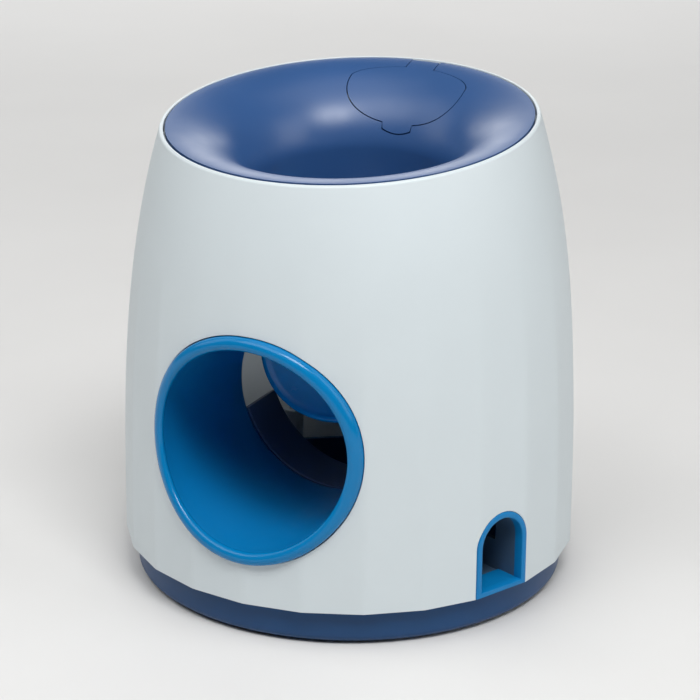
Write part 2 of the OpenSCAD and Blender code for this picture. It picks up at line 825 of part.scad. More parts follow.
module wire(path, r) {
    n = len(path);
    points = [for (i = [0:n - 1]) each tube_ring_points(path, i, r)];
    walls = [for (i = [0:n - 2]) for (s = [0:spring_sides - 1])
        let (a = i * spring_sides + s, b = i * spring_sides + (s + 1) % spring_sides)
        each [[a, b, b + spring_sides], [a, b + spring_sides, a + spring_sides]]];
    caps = [for (s = [1:spring_sides - 2]) each [[0, s + 1, s],
        [(n - 1) * spring_sides, (n - 1) * spring_sides + s, (n - 1) * spring_sides + s + 1]]];
    polyhedron(points, concat(walls, caps));
}

module return_spring() {
    color("silver") at_shaft() wire(spring_path, spring_wire / 2);
}

// Rubber pad on the hopper that the dish's finger rests on
module stop_pad() {
    color("#202428") translate([-pad_w / 2, shaft_y + hub_r + free_gap, shaft_z - pad_drop])
        cube([pad_w, hopper_to_shaft - hub_r - free_gap, pad_drop - finger_t - pad_gap]);
}

// Hopper with the drum's housing under its right half
function hopper_outline(inset, top) =
    [[-hopper_half + inset, top],
     [-hopper_half + inset, hopper_floor_z + hopper_fall],
     [housing_x0 + inset, hopper_floor_z - (inset > 0 ? 0 : floor_t)]];

module hopper_wedge(inset, outline) {
    z1 = rim_z + hopper_over + floor_t;
    intersection() {
        translate([0, hopper_front + inset, 0]) rotate([90, 0, 0]) mirror([0, 0, 1])
            linear_extrude(hopper_depth) polygon(outline);
        body_solid(-(shell_wall + facet_dip + hopper_gap + inset), drum_z - housing_r - cut, z1);
    }
}

module treat_hopper() {
    top = rim_z + hopper_over;
    inner_x = hopper_half - hopper_wall;
    outside = concat(hopper_outline(0, top),
                     [[housing_x0, drum_z], [hopper_half, drum_z], [hopper_half, top]]);
    inside = concat(hopper_outline(hopper_wall, top), [[inner_x, hopper_floor_z], [inner_x, top]]);
    color("lightgray") difference() {
        union() {
            difference() {
                hopper_wedge(0, outside);
                hopper_wedge(hopper_wall, inside);
            }
            at_drum() x_cyl(housing_r, housing_x0, hopper_half);
            for (s = [-1, 1]) shaft_ear(s);
            for (s = [-1, 1]) hopper_lug(s);
        }
        in_rim() funnel_room(seat_gap);
        at_hinge() translate([0, 0, -free_gap]) hinge_room(free_gap, tall_cut);
        for (s = [-1, 1]) hopper_boss_room(s);
        at_drum() x_cyl(drum_r + drum_gap, drum_x0 - free_gap, hopper_half + cut);
        at_drum() x_cyl(drum_shaft_r + run_gap, housing_x0 - cut, drum_x0);
        at_drum() translate([drum_x0 + port_inset, -port_half, 0])
            cube([drum_w - 2 * port_inset, 2 * port_half, hopper_floor_z - drum_z + cut]);
        at_drum() translate([drum_x0 + port_inset, -port_back, -housing_r - cut])
            cube([drum_w - 2 * port_inset, drum_r + cut, housing_r + cut - port_sill]);
        at_shaft() for (s = [-1, 1])
            translate([s * (bearing_x + bearing_w / 2), 0, 0]) x_cyl(bush_r, -bearing_w, bearing_w);
        for (s = [-1, 1]) translate([s * lug_x, lug_y, lug_z - lug_t])
            cylinder(r = screw_r + run_gap, h = 2 * lug_t);
        at_drum() plate_screw_ring()
            x_cyl(plate_screw_r + run_gap, hopper_half - plate_bite - cut, hopper_half + cut);
    }
}

plate_screw_r = 0.9;
plate_bite = 6;
plate_head_r = 1.6;
plate_head_h = free_gap - seat_gap / 2;

// Places of the three screws round the drum's end plate
module plate_screw_ring() {
    for (a = [30, 150, 270])
        rotate([a, 0, 0]) translate([0, drum_r + drum_gap + housing_wall / 2, 0]) children();
}

module shaft_ear(side) {
    x0 = side * (bearing_x + bearing_w / 2) - bearing_w / 2;
    ear_r = bush_r + ear_wall;
    translate([x0, shaft_y - ear_r, shaft_z - ear_r])
        cube([bearing_w, hopper_to_shaft + hopper_wall / 2 + ear_r, 2 * ear_r]);
}

module hopper_lug(side) {
    x0 = side > 0 ? hopper_half - hopper_wall / 2 : -lug_x;
    translate([x0, lug_y - lug_r, lug_z - lug_t / 2])
        cube([lug_x - hopper_half + hopper_wall / 2, 2 * lug_r, lug_t]);
    translate([side * lug_x, lug_y, lug_z - lug_t / 2]) cylinder(r = lug_r, h = lug_t);
}

module hopper_boss_room(side) {
    translate([side * lug_x, lug_y, lug_z + lug_t / 2]) cylinder(r = lug_r + seat_gap, h = tall_cut);
}

module hopper_screws() {
    color("silver") for (s = [-1, 1])
        translate([s * lug_x, lug_y, lug_z - lug_t / 2]) screw(lug_t / 2 + lug_screw);
}

module end_plate() {
    color("lightgray") at_drum() difference() {
        x_cyl(housing_r, plate_x0, plate_x0 + plate_t);
        x_cyl(drum_shaft_r + run_gap, plate_x0 - cut, plate_x0 + plate_t + cut);
        plate_screw_ring() x_cyl(plate_screw_r + run_gap, plate_x0 - cut, plate_x0 + plate_t + cut);
    }
}

module end_plate_screws() {
    color("silver") at_drum() plate_screw_ring() {
        x_cyl(plate_screw_r, hopper_half - plate_bite, plate_x0 + plate_t);
        x_cyl(plate_head_r, plate_x0 + plate_t, plate_x0 + plate_t + plate_head_h);
    }
}

// Drum with one scoop, facing up at rest
module metering_drum() {
    color("#0f76bd") at_drum() difference() {
        x_cyl(drum_r, drum_x0, drum_x1);
        translate([0, 0, drum_r - pocket_sink]) x_cyl(pocket_r, drum_x0 + pocket_end, drum_x1 - pocket_end);
        x_cyl(drum_shaft_r + run_gap / 2, drum_x0 - cut, drum_x1 + cut);
    }
}

module drum_shaft() {
    color("silver") at_drum() x_cyl(drum_shaft_r, housing_x0 - cut, shaft_x1);
}

// Slide from the drum's outlet to the arch, on two posts
module treat_slide() {
    color("#20324f") difference() {
        union() {
            in_slide() translate([-slide_back, -slide_w / 2, -slide_t])
                cube([slide_len + slide_back, slide_w, slide_h + slide_t]);
            for (p = slide_screw_spots()) translate(p) translate([0, 0, base_z1 + run_gap])
                cylinder(r = post_r, h = slide_floor_z(p) - base_z1);
        }
        in_slide() translate([-slide_back + slide_t, -slide_w / 2 + slide_t, 0])
            cube([slide_len + slide_back, slide_w - 2 * slide_t, tall_cut]);
        at_drum() x_cyl(housing_r + free_gap, housing_x0 - slide_w, shaft_x1 + free_gap);
        for (p = slide_screw_spots()) translate(p) cylinder(r = screw_r + run_gap, h = base_z1 + post_bore);
    }
}

function slide_floor_z(p) =
    let (share = norm([p[0] - slide_top[0], p[1] - slide_top[1]]) / norm([slide_run[0], slide_run[1]]))
    slide_top[2] + slide_run[2] * share;

module slide_screws() {
    color("silver") for (p = slide_screw_spots())
        translate(p) translate([0, 0, screw_seat]) screw(base_z1 + screw_bite);
}

// Arched outlet: a frame in the shell, a hood behind it and an open tray that the slide drops into
module treat_outlet() {
    y0 = -outlet_face;
    frame_y1 = y0 + frame_t;
    hood_y1 = y0 + outlet_hood;
    tray_y1 = y0 + outlet_depth;
    side_w = outlet_half_w + outlet_wall;
    color("#0f76bd") at_outlet() difference() {
        union() {
            arch(outlet_out_w, outlet_z0, y0, frame_y1);
            arch(side_w, outlet_z0, y0, hood_y1);
            translate([-side_w, y0, outlet_z0]) cube([2 * side_w, outlet_depth, outlet_rear_z - outlet_z0]);
        }
        arch(outlet_half_w, outlet_z0 + outlet_sill, y0 - cut, tray_y1 - outlet_wall);
    }
}

outer_shell();
base_plate();
rubber_feet();
base_screws();
funnel();
treat_lid();
lid_pin();
exit_tube();
tube_ring();
ball_trough();
trough_screws();
paddle_dish();
paddle_shaft();
sector_gear();
shaft_clip();
shaft_bushes();
return_spring();
stop_pad();
treat_hopper();
hopper_screws();
end_plate();
end_plate_screws();
metering_drum();
drum_shaft();
drum_pinion();
treat_slide();
slide_screws();
treat_outlet();
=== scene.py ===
import math

import bmesh
import bpy
import numpy as np
from mathutils import Matrix, Vector
from mathutils.geometry import delaunay_2d_cdt


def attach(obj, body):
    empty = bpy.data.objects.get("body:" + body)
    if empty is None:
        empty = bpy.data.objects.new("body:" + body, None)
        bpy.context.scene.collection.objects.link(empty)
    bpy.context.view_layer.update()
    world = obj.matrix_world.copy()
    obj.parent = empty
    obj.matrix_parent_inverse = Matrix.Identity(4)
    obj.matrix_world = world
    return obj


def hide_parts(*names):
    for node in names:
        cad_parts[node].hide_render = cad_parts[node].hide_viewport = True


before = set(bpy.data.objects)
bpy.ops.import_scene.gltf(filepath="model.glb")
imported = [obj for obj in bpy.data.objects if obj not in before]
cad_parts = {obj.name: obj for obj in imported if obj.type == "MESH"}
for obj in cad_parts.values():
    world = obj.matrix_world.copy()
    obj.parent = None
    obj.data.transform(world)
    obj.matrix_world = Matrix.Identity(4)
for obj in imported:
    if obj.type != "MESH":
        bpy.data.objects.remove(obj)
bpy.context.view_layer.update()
MM = 0.001
RAD = math.pi / 180

# Sizes of the CAD model that the pieces repeat, in millimetres and degrees
BODY_R, BASE_H, TAPER, RIM_Z, TILT = 85.0, 14.0, 18.0, 173.7, 6.0
FACETS, FACET_LOW, FACET_HIGH, WALL, LIP_W = 24, 70.0, 150.0, 2.2, 1.6
THROAT_R, FUNNEL_D, THROAT_L, FUNNEL_WALL, FUNNEL_POWER = 36.0, 26.0, 15.0, 2.0, 1.8
TUBE_R, TUBE_Z, TUBE_WALL, TUBE_END = 37.5, 71.2, 1.8, -15.0
BEAD_W, BEAD_H, BEAD_LIP = 4.9, 2.4, 0.7
OUTLET_AZ, OUTLET_HW, OUTLET_SPRING, OUTLET_FRAME = 67.0, 9.7, 32.7, 2.3
TROUGH_LEFT, TROUGH_RIGHT, TROUGH_LEN, TROUGH_WALL = 71.0, 52.0, 22.0, 2.2
TAPER_PAST, RIM_GAP = 6.0, 0.25
SPAN = RIM_Z - BASE_H + TAPER_PAST
RISE = math.tan(TILT * RAD)


def smooth(t):
    t = np.clip(t, 0, 1)
    return t * t * (3 - 2 * t)


def body_radius(z):
    return BODY_R - TAPER * (np.maximum(0, z - BASE_H) / SPAN) ** 3


def rim_height(az):
    guess = RIM_Z - body_radius(RIM_Z) * np.cos(az * RAD) * RISE
    return RIM_Z - body_radius(guess) * np.cos(az * RAD) * RISE


def outer_radius(az, z):
    """Radius of the faceted shell: flats low down that fade to a round top."""
    step = 360 / FACETS
    share = 1 - smooth((z - FACET_LOW) / (FACET_HIGH - FACET_LOW))
    off = np.mod(az, step) - step / 2
    flats = [math.cos(step / 2 * RAD) / np.cos((off + k * step) * RAD) for k in (-1, 0, 1)]
    soft = 0.0007
    least = np.minimum(np.minimum(flats[0], flats[1]), flats[2])
    poly = least - soft * np.log(sum(np.exp((least - f) / soft) for f in flats))
    return body_radius(z) * (1 - share + share * poly)


def around(r, az, z):
    return np.stack([r * np.sin(az * RAD), -r * np.cos(az * RAD), z + 0 * r], -1)


def outer_point(az, z, off=0.0):
    return around(outer_radius(az, z) + off, az, z)


def outer_normal(az, z):
    e = 0.35
    du = outer_point(az + e, z) - outer_point(az - e, z)
    dv = outer_point(az, z + e) - outer_point(az, z - e)
    n = np.cross(du, dv)
    return n / np.linalg.norm(n, axis=-1, keepdims=True)


RIM_FRONT, RIM_BACK = body_radius(rim_height(0.0)), body_radius(rim_height(180.0))
RIM_Y = (RIM_BACK - RIM_FRONT) / 2
FUNNEL_R = (RIM_FRONT + RIM_BACK) / 2 - LIP_W - RIM_GAP
RIM_O = np.array([0, RIM_Y, RIM_Z + RIM_Y * RISE])


def from_rim(p):
    """Points of the slanted rim frame (x, back, up) in the object's frame."""
    p = np.asarray(p, float)
    c, s = math.cos(TILT * RAD), math.sin(TILT * RAD)
    return np.stack([p[..., 0], c * p[..., 1] - s * p[..., 2], s * p[..., 1] + c * p[..., 2]], -1) + RIM_O


class Shape:
    """Collects vertices and faces in millimetres, with exact normals where they are known."""

    def __init__(self):
        self.verts, self.faces, self.normals, self.exact = [], [], [], []

    def add(self, points, normals=None):
        start = len(self.verts)
        points = np.asarray(points, float).reshape(-1, 3)
        self.verts.extend(points.tolist())
        given = np.asarray(normals, float).reshape(-1, 3) if normals is not None else np.zeros_like(points)
        self.normals.extend(given.tolist())
        return start

    def face(self, ids, exact=False):
        self.faces.append(tuple(int(i) for i in ids))
        self.exact.append(exact)

    def strip(self, a, b, closed=True):
        """Quads between two rows of vertex numbers of the same length."""
        n = len(a)
        for i in range(n if closed else n - 1):
            j = (i + 1) % n
            self.face((a[i], a[j], b[j], b[i]))

    def loft(self, rows, closed=True, wrap=False):
        """Joins each row of points to the next one; wrap joins the last row to the first."""
        ids = []
        for r in rows:
            s = self.add(r)
            ids.append(list(range(s, s + len(r))))
        for k in range(len(ids) if wrap else len(ids) - 1):
            self.strip(ids[k], ids[(k + 1) % len(ids)], closed)
        return ids

    def skins(self, tris, out, ins, exact_in=False):
        """Triangles of a wall's two faces; returns the edges that only one triangle has."""
        edges = {}
        for t in tris:
            if len(set(t)) < 3:
                continue
            self.face([out + i for i in t], True)
            self.face([ins + i for i in t[::-1]], exact_in)
            for i in range(3):
                edges[t[i], t[(i + 1) % 3]] = True
        return [e for e in edges if (e[1], e[0]) not in edges]

    def lathe(self, profile, place=None, steps=96, wrap=True):
        """profile of (radius, height) turned about Z, then moved by place."""
        rows = []
        for r, h in profile:
            a = np.linspace(0, 2 * math.pi, steps, endpoint=False)
            p = np.stack([r * np.cos(a), r * np.sin(a), 0 * a + h], -1)
            rows.append(place(p) if place else p)
        return self.loft(rows, True, wrap)

    def box(self, low, high, place=None):
        (x0, y0, z0), (x1, y1, z1) = low, high
        p = np.array([[x0, y0, z0], [x1, y0, z0], [x1, y1, z0], [x0, y1, z0],
                      [x0, y0, z1], [x1, y0, z1], [x1, y1, z1], [x0, y1, z1]], float)
        s = self.add(place(p) if place else p)
        for f in ((3, 2, 1, 0), (4, 5, 6, 7), (0, 1, 5, 4), (1, 2, 6, 5), (2, 3, 7, 6), (3, 0, 4, 7)):
            self.face([s + i for i in f])

    def build(self, name, body, material, node, sharp, recalc=True):
        """Makes the piece, which rides on a body and stands for a CAD node; sharp is the crease angle."""
        mesh = bpy.data.meshes.new(name)
        mesh.from_pydata([(x * MM, y * MM, z * MM) for x, y, z in self.verts], [], self.faces)
        if recalc:
            bm = bmesh.new()
            bm.from_mesh(mesh)
            bmesh.ops.recalc_face_normals(bm, faces=bm.faces)
            bm.to_mesh(mesh)
            bm.free()
        mesh.shade_smooth()
        mesh.set_sharp_from_angle(angle=sharp * RAD)
        if any(self.exact):
            corner = np.array([c.vector for c in mesh.corner_normals], float)
            given = np.array(self.normals, float)
            for poly in mesh.polygons:
                if self.exact[poly.index]:
                    for k in poly.loop_indices:
                        n = given[mesh.loops[k].vertex_index]
                        if n.any():
                            corner[k] = n if np.dot(n, poly.normal) > 0 else -n
            mesh.normals_split_custom_set(corner.tolist())
        obj = bpy.data.objects.new(name, mesh)
        bpy.context.scene.collection.objects.link(obj)
        obj.data.materials.append(material)
        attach(obj, body)
        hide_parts(node)


# Materials

def nodes_of(name):
    mat = bpy.data.materials.new(name)
    mat.use_nodes = True
    tree = mat.node_tree
    return mat, tree, tree.nodes["Principled BSDF"]


def node(tree, kind, **values):
    n = tree.nodes.new(kind)
    for key, value in values.items():
        if hasattr(n, key):
            setattr(n, key, value)
        else:
            n.inputs[key].default_value = value
    return n


def ramp(tree, stops):
    n = tree.nodes.new("ShaderNodeValToRGB")
    el = n.color_ramp.elements
    el[0].position, el[0].color = stops[0][0], (*stops[0][1], 1)
    el[1].position, el[1].color = stops[-1][0], (*stops[-1][1], 1)
    for pos, col in stops[1:-1]:
        e = el.new(pos)
        e.color = (*col, 1)
    return n


def shade(col, k):
    return tuple(min(1.0, c * k) for c in col)


def moulded(name, color, rough, spread, grain, grain_mm, spec=0.5):
    """Moulded plastic: faint flow marks in the colour, uneven gloss, and a fine spark-eroded grain."""
    mat, t, bsdf = nodes_of(name)
    co = node(t, "ShaderNodeTexCoord")
    flow = node(t, "ShaderNodeTexNoise", Scale=22.0, Detail=3.0, Roughness=0.5)
    cols = ramp(t, [(0.3, shade(color, 1 - spread)), (0.7, shade(color, 1 + spread))])
    smear = node(t, "ShaderNodeTexNoise", Scale=60.0, Detail=4.0, Roughness=0.6)
    gloss = node(t, "ShaderNodeMapRange")
    gloss.inputs["From Min"].default_value = 0.3
    gloss.inputs["From Max"].default_value = 0.7
    gloss.inputs["To Min"].default_value = rough - 0.035
    gloss.inputs["To Max"].default_value = rough + 0.035
    fine = node(t, "ShaderNodeTexNoise", Scale=1000.0 / grain_mm, Detail=2.0, Roughness=0.55)
    bump = node(t, "ShaderNodeBump", Strength=grain, Distance=0.00004)
    for n in (flow, smear, fine):
        t.links.new(co.outputs["Object"], n.inputs["Vector"])
    t.links.new(flow.outputs["Fac"], cols.inputs["Fac"])
    t.links.new(cols.outputs["Color"], bsdf.inputs["Base Color"])
    t.links.new(smear.outputs["Fac"], gloss.inputs["Value"])
    t.links.new(gloss.outputs["Result"], bsdf.inputs["Roughness"])
    t.links.new(fine.outputs["Fac"], bump.inputs["Height"])
    t.links.new(bump.outputs["Normal"], bsdf.inputs["Normal"])
    bsdf.inputs["Specular IOR Level"].default_value = spec
    return mat


def rubber(name, color):
    mat, t, bsdf = nodes_of(name)
    co = node(t, "ShaderNodeTexCoord")
    specks = node(t, "ShaderNodeTexVoronoi", Scale=900.0)
    dust = node(t, "ShaderNodeTexNoise", Scale=45.0, Detail=5.0)
    cols = ramp(t, [(0.35, color), (0.75, shade(color, 2.2))])
    bump = node(t, "ShaderNodeBump", Strength=0.35, Distance=0.0001)
    for n in (specks, dust):
        t.links.new(co.outputs["Object"], n.inputs["Vector"])
    t.links.new(dust.outputs["Fac"], cols.inputs["Fac"])
    t.links.new(cols.outputs["Color"], bsdf.inputs["Base Color"])
    t.links.new(specks.outputs["Distance"], bump.inputs["Height"])
    t.links.new(bump.outputs["Normal"], bsdf.inputs["Normal"])
    bsdf.inputs["Roughness"].default_value = 0.8
    return mat


def steel(name, along):
    """Bright steel with fine drawing marks along one axis."""
    mat, t, bsdf = nodes_of(name)
    co = node(t, "ShaderNodeTexCoord")
    place = node(t, "ShaderNodeMapping")
    place.inputs["Scale"].default_value = tuple(60.0 if k == along else 3000.0 for k in range(3))
    marks = node(t, "ShaderNodeTexNoise", Scale=1.0, Detail=3.0)
    cols = ramp(t, [(0.3, (0.46, 0.47, 0.49)), (0.7, (0.66, 0.67, 0.69))])
    rough = node(t, "ShaderNodeMapRange")
    rough.inputs["To Min"].default_value = 0.22
    rough.inputs["To Max"].default_value = 0.42
    bump = node(t, "ShaderNodeBump", Strength=0.2, Distance=0.00003)
    t.links.new(co.outputs["Object"], place.inputs["Vector"])
    t.links.new(place.outputs["Vector"], marks.inputs["Vector"])
    t.links.new(marks.outputs["Fac"], cols.inputs["Fac"])
    t.links.new(cols.outputs["Color"], bsdf.inputs["Base Color"])
    t.links.new(marks.outputs["Fac"], rough.inputs["Value"])
    t.links.new(rough.outputs["Result"], bsdf.inputs["Roughness"])
    t.links.new(marks.outputs["Fac"], bump.inputs["Height"])
    t.links.new(bump.outputs["Normal"], bsdf.inputs["Normal"])
    bsdf.inputs["Metallic"].default_value = 1.0
    return mat


# Each has a colour, roughness, spread of colour, grain strength, grain size in mm and gloss level
WHITE = moulded("shell_plastic", (0.60, 0.66, 0.685), 0.46, 0.012, 0.22, 0.5)
FUNNEL_BLUE = moulded("funnel_plastic", (0.026, 0.083, 0.232), 0.36, 0.05, 0.10, 0.9, 0.62)
NAVY = moulded("base_plastic", (0.010, 0.055, 0.158), 0.42, 0.05, 0.1, 1.2, 0.3)
BLUE = moulded("tube_plastic", (0.001, 0.175, 0.435), 0.40, 0.04, 0.015, 1.6, 0.3)
BEAD_BLUE = moulded("bead_plastic", (0.001, 0.175, 0.420), 0.14, 0.04, 0.01, 1.6, 0.3)
# the dish: the tube's blue made brighter, painted light for the light that falls on it through the throat
LIT_DISH_BLUE = moulded("dish_painted_light", (0.001, 0.300, 0.720), 0.26, 0.04, 0.02, 1.6, 0.3)
TROUGH = moulded("trough_plastic", (0.070, 0.120, 0.240), 0.4, 0.08, 0.1, 1.2)
# dark navy for the outlet's inner hood, tray and walls: painted shade for the dark inside the outlet, where
# the blue lies in shadow
SHADED_TRAY = moulded("tray_painted_shade", (0.060, 0.110, 0.180), 0.45, 0.08, 0.1, 1.2)
DARK = moulded("inner_dark_plastic", (0.010, 0.016, 0.030), 0.5, 0.1, 0.2, 0.5)
GREY = moulded("inner_grey_plastic", (0.42, 0.44, 0.46), 0.5, 0.04, 0.2, 0.5)
GEAR = moulded("gear_plastic", (0.72, 0.72, 0.68), 0.42, 0.03, 0.15, 0.4)
STEEL_X = steel("steel_along_x", 0)
STEEL_Z = steel("steel_along_z", 2)
RUBBER = rubber("foot_rubber", (0.012, 0.012, 0.013))


# Shell: the faceted outside and the inside are cut by the same outlines

def solve_az(x, z, start=0.0):
    az = np.zeros_like(x)
    for _ in range(25):
        az = np.degrees(np.arcsin(np.clip(x / outer_radius(start + az, z), -1, 1)))
    return start + az


def inside(poly, pts):
    """Which points lie inside a closed outline."""
    x, y = pts[:, 0], pts[:, 1]
    hit = np.zeros(len(pts), bool)
    px, py = poly[:, 0], poly[:, 1]
    for i in range(len(poly)):
        j = i - 1
        cross = (py[i] > y) != (py[j] > y)
        with np.errstate(divide="ignore", invalid="ignore"):
            hit ^= cross & (x < (px[j] - px[i]) * (y - py[i]) / (py[j] - py[i]) + px[i])
    return hit


def near(poly, pts, limit):
    """Which points lie closer than limit to an outline's corners."""
    hit = np.zeros(len(pts), bool)
    for p in poly:
        hit |= np.hypot(pts[:, 0] - p[0], pts[:, 1] - p[1]) < limit
    return hit


def triangulate(points, loops):
    """Constrained triangles over the points and the outlines; loops are (outline, closed)."""
    coords = [tuple(p) for p in points]
    edges = []
    for outline, closed in loops:
        s = len(coords)
        coords += [tuple(p) for p in outline]
        n = len(outline)
        edges += [(s + i, s + (i + 1) % n) for i in range(n if closed else n - 1)]
    out = delaunay_2d_cdt([Vector(c) for c in coords], edges, [], 0, 1e-5)
    return np.array([(v.x, v.y) for v in out[0]]), [tuple(f) for f in out[2]]


def joined(turn, along):
    """Gives points on both sides of a flat map's cut one number; also one point's index for each number."""
    key, number, first = {}, [], []
    for i, (a, b) in enumerate(zip(turn, along)):
        place = round(float((a + 180) % 360), 3) % 360, round(float(b), 3)
        if place not in key:
            key[place] = len(key)
            first.append(i)
        number.append(key[place])
    return number, first


# Millimetres along the shell to a degree, so that its flat map keeps its shape
U = 1.45
LIP_ROUND, LIP_EDGE, LEDGE_D, LEDGE_W, LEDGE_T, HINGE_ROOM = 1.2, 0.2, 3.2, 1.8, 5.6, 6.6
FLANGE_W, FLANGE_T, BOSS_IN, BOSS_R, BOSS_INSET = 6.4, 2.4, 1.6, 4.0, 13.0
BOSS_LOW, BOSS_TOP = 14.4, 34.0
LOW_Z, HIGH_Z = 40.0, 130.0
AZ = np.arange(-180, 180.01, 1.25)
HOLE_GAP, ARCH_GAP = 0.3, 0.2
HOLE_R = TUBE_R - BEAD_LIP + BEAD_W + HOLE_GAP
ARCH_HW = OUTLET_HW + OUTLET_FRAME + ARCH_GAP
# Crease angles in degrees, over which an edge is sharp
CREASE, CREASE_THIN, CREASE_ROUND = 30, 35, 40


def arch_line(half_w, low, steps=28):
    """Open arch outline, left foot to right foot, as (x, z)."""
    a = np.linspace(math.pi, 0, steps)
    arc = np.stack([half_w * np.cos(a), OUTLET_SPRING + half_w * np.sin(a)], -1)
    up = np.linspace(low, OUTLET_SPRING, 12)[:-1]
    left = np.stack([-half_w + 0 * up, up], -1)
    return np.concatenate([left, arc, left[::-1] * [-1, 1]])


def make_shell():
    top = rim_height(AZ) - LIP_ROUND
    rows = np.linspace(0, 1, 66)[1:-1]
    grid = np.array([(a * U, BASE_H + t * (h - BASE_H)) for a, h in zip(AZ, top) for t in rows])
    f = np.linspace(0, 2 * math.pi, 200, endpoint=False)
    hx, hz = HOLE_R * np.sin(f), TUBE_Z + HOLE_R * np.cos(f)
    hole = np.stack([solve_az(hx, hz) * U, hz], -1)
    arch = arch_line(ARCH_HW, BASE_H)
    notch = np.stack([solve_az(arch[:, 0], arch[:, 1], OUTLET_AZ) * U, arch[:, 1]], -1)
    # grid points stay this far from the outlines
    hole_room, notch_room, foot_room, side_room = 1.0, 0.8, 0.9, 0.1
    cut = inside(hole, grid) | inside(notch, grid)
    grid = grid[~(cut | near(hole, grid, hole_room) | near(notch, grid, notch_room))]
    foot = np.array([(a * U, BASE_H) for a in AZ])
    before = foot[foot[:, 0] <= notch[0, 0] - foot_room]
    after = foot[foot[:, 0] >= notch[-1, 0] + foot_room]
    low_edge = np.concatenate([before, notch, after])
    edge = np.stack([AZ * U, top], -1)
    side = np.array([(180 * U, BASE_H + t * (top[-1] - BASE_H)) for t in rows])
    loops = [(hole, True), (low_edge, False), (edge, False), (side, False), (side * [-1, 1], False)]
    uv, tris = triangulate(grid[np.abs(grid[:, 0]) < (180 - side_room) * U], loops)
    az, z = uv[:, 0] / U, uv[:, 1]
    mid = np.array([uv[list(t)].mean(0) for t in tris])
    ok = ~(inside(hole, mid) | inside(notch, mid)) & (mid[:, 1] < rim_height(mid[:, 0] / U) - LIP_ROUND)
    tris = [t for t, k in zip(tris, ok) if k]
    number, first = joined(az, z)
    az, z = az[first], z[first]
    s = Shape()
    out = s.add(outer_point(az, z), outer_normal(az, z))
    # the inside ends on the flange below and under the ledge above
    lift = np.where(z < LOW_Z, LOW_Z - (LOW_Z - z) * (LOW_Z - BASE_H - FLANGE_T) / (LOW_Z - BASE_H), z)
    high = rim_height(az) - LIP_ROUND
    lift = np.where(z > HIGH_Z, HIGH_Z + (z - HIGH_Z) * (high - LEDGE_T - HIGH_Z) / (high - HIGH_Z), lift)
    ins = s.add(outer_point(az, lift, -WALL), -outer_normal(az, lift))
    rim = s.skins([[number[i] for i in t] for t in tris], out, ins, True)
    snap = 0.01
    is_top, is_low = np.abs(z - high) < snap, np.abs(z - BASE_H) < snap
    turn = np.radians([18, 36, 54, 72, 90])
    lip = [(LIP_ROUND * (1 - math.cos(a)), LIP_ROUND * (math.sin(a) - 1)) for a in turn]
    lip += [(LIP_W - LIP_EDGE, 0), (LIP_W, -LIP_EDGE), (LIP_W, -LEDGE_D), (LIP_W + LEDGE_W, -LEDGE_D)]
    # at the back the ledge leaves room for the lid's hinge
    lip_open = lip[:-1] + [(LIP_W + 0.05, -LEDGE_D - 0.2)]
    flange = [(BODY_R - FLANGE_W, BASE_H), (BODY_R - FLANGE_W, BASE_H + FLANGE_T)]
    made = {}

    def rail(i, low):
        if (i, low) not in made:
            a = az[i:i + 1]
            if low:
                pts = [around(np.full(1, r), a, h)[0] for r, h in flange]
            else:
                r = outer_radius(a, z[i:i + 1])
                x, y = around(r, a, 0.0)[0, :2]
                profile = lip_open if y > 0 and abs(x) < HINGE_ROOM else lip
                pts = [around(r - d, a, rim_height(a) + h)[0] for d, h in profile]
            start = s.add(pts)
            made[i, low] = [out + i] + list(range(start, start + len(pts))) + [ins + i]
        return made[i, low]

    for a, b in rim:
        if is_top[a] and is_top[b]:
            ra, rb = rail(a, False), rail(b, False)
        elif is_low[a] and is_low[b]:
            ra, rb = rail(a, True), rail(b, True)
        else:
            ra, rb = [out + a, ins + a], [out + b, ins + b]
        for k in range(len(ra) - 1):
            s.face((rb[k], ra[k], ra[k + 1], rb[k + 1]))
    # posts for the base screws
    for a in (45.0, 135.0, 225.0, 315.0):
        at = around(np.full(1, BODY_R - BOSS_INSET), np.array([a]), 0.0)[0]
        post = [(BOSS_IN, BOSS_LOW), (BOSS_R, BOSS_LOW), (BOSS_R, BOSS_TOP), (BOSS_IN, BOSS_TOP)]
        s.lathe(post, lambda p, at=at: p + at, 24)
    s.build("shell_body", "housing", WHITE, "outer_shell", CREASE, recalc=False)


make_shell()


# Funnel and lid share one turned surface

LINE_STEPS, THROAT_SHORT = 500, 0.6


def funnel_line():
    """Radius and height along the funnel's wall, from the rim to the throat's end."""
    s = np.sin(np.linspace(0, math.pi / 2, LINE_STEPS))
    drop = 1 - (1 - s ** FUNNEL_POWER) ** (1 / FUNNEL_POWER)
    rho = FUNNEL_R - (FUNNEL_R - THROAT_R) * s
    h = -FUNNEL_D * drop
    low = np.linspace(-FUNNEL_D, -FUNNEL_D - THROAT_L + THROAT_SHORT, 40)[1:]
    return np.concatenate([rho, 0 * low + THROAT_R]), np.concatenate([h, low])


LINE_R, LINE_H = funnel_line()
LINE_W = np.concatenate([[0], np.cumsum(np.hypot(np.diff(LINE_R), np.diff(LINE_H)))])
W_END = LINE_W[-1]
# Radius at which the funnel's flat map is true to scale
FU = 50.0


def funnel_h(rho):
    return np.interp(-np.asarray(rho), -LINE_R[:LINE_STEPS], LINE_H[:LINE_STEPS])


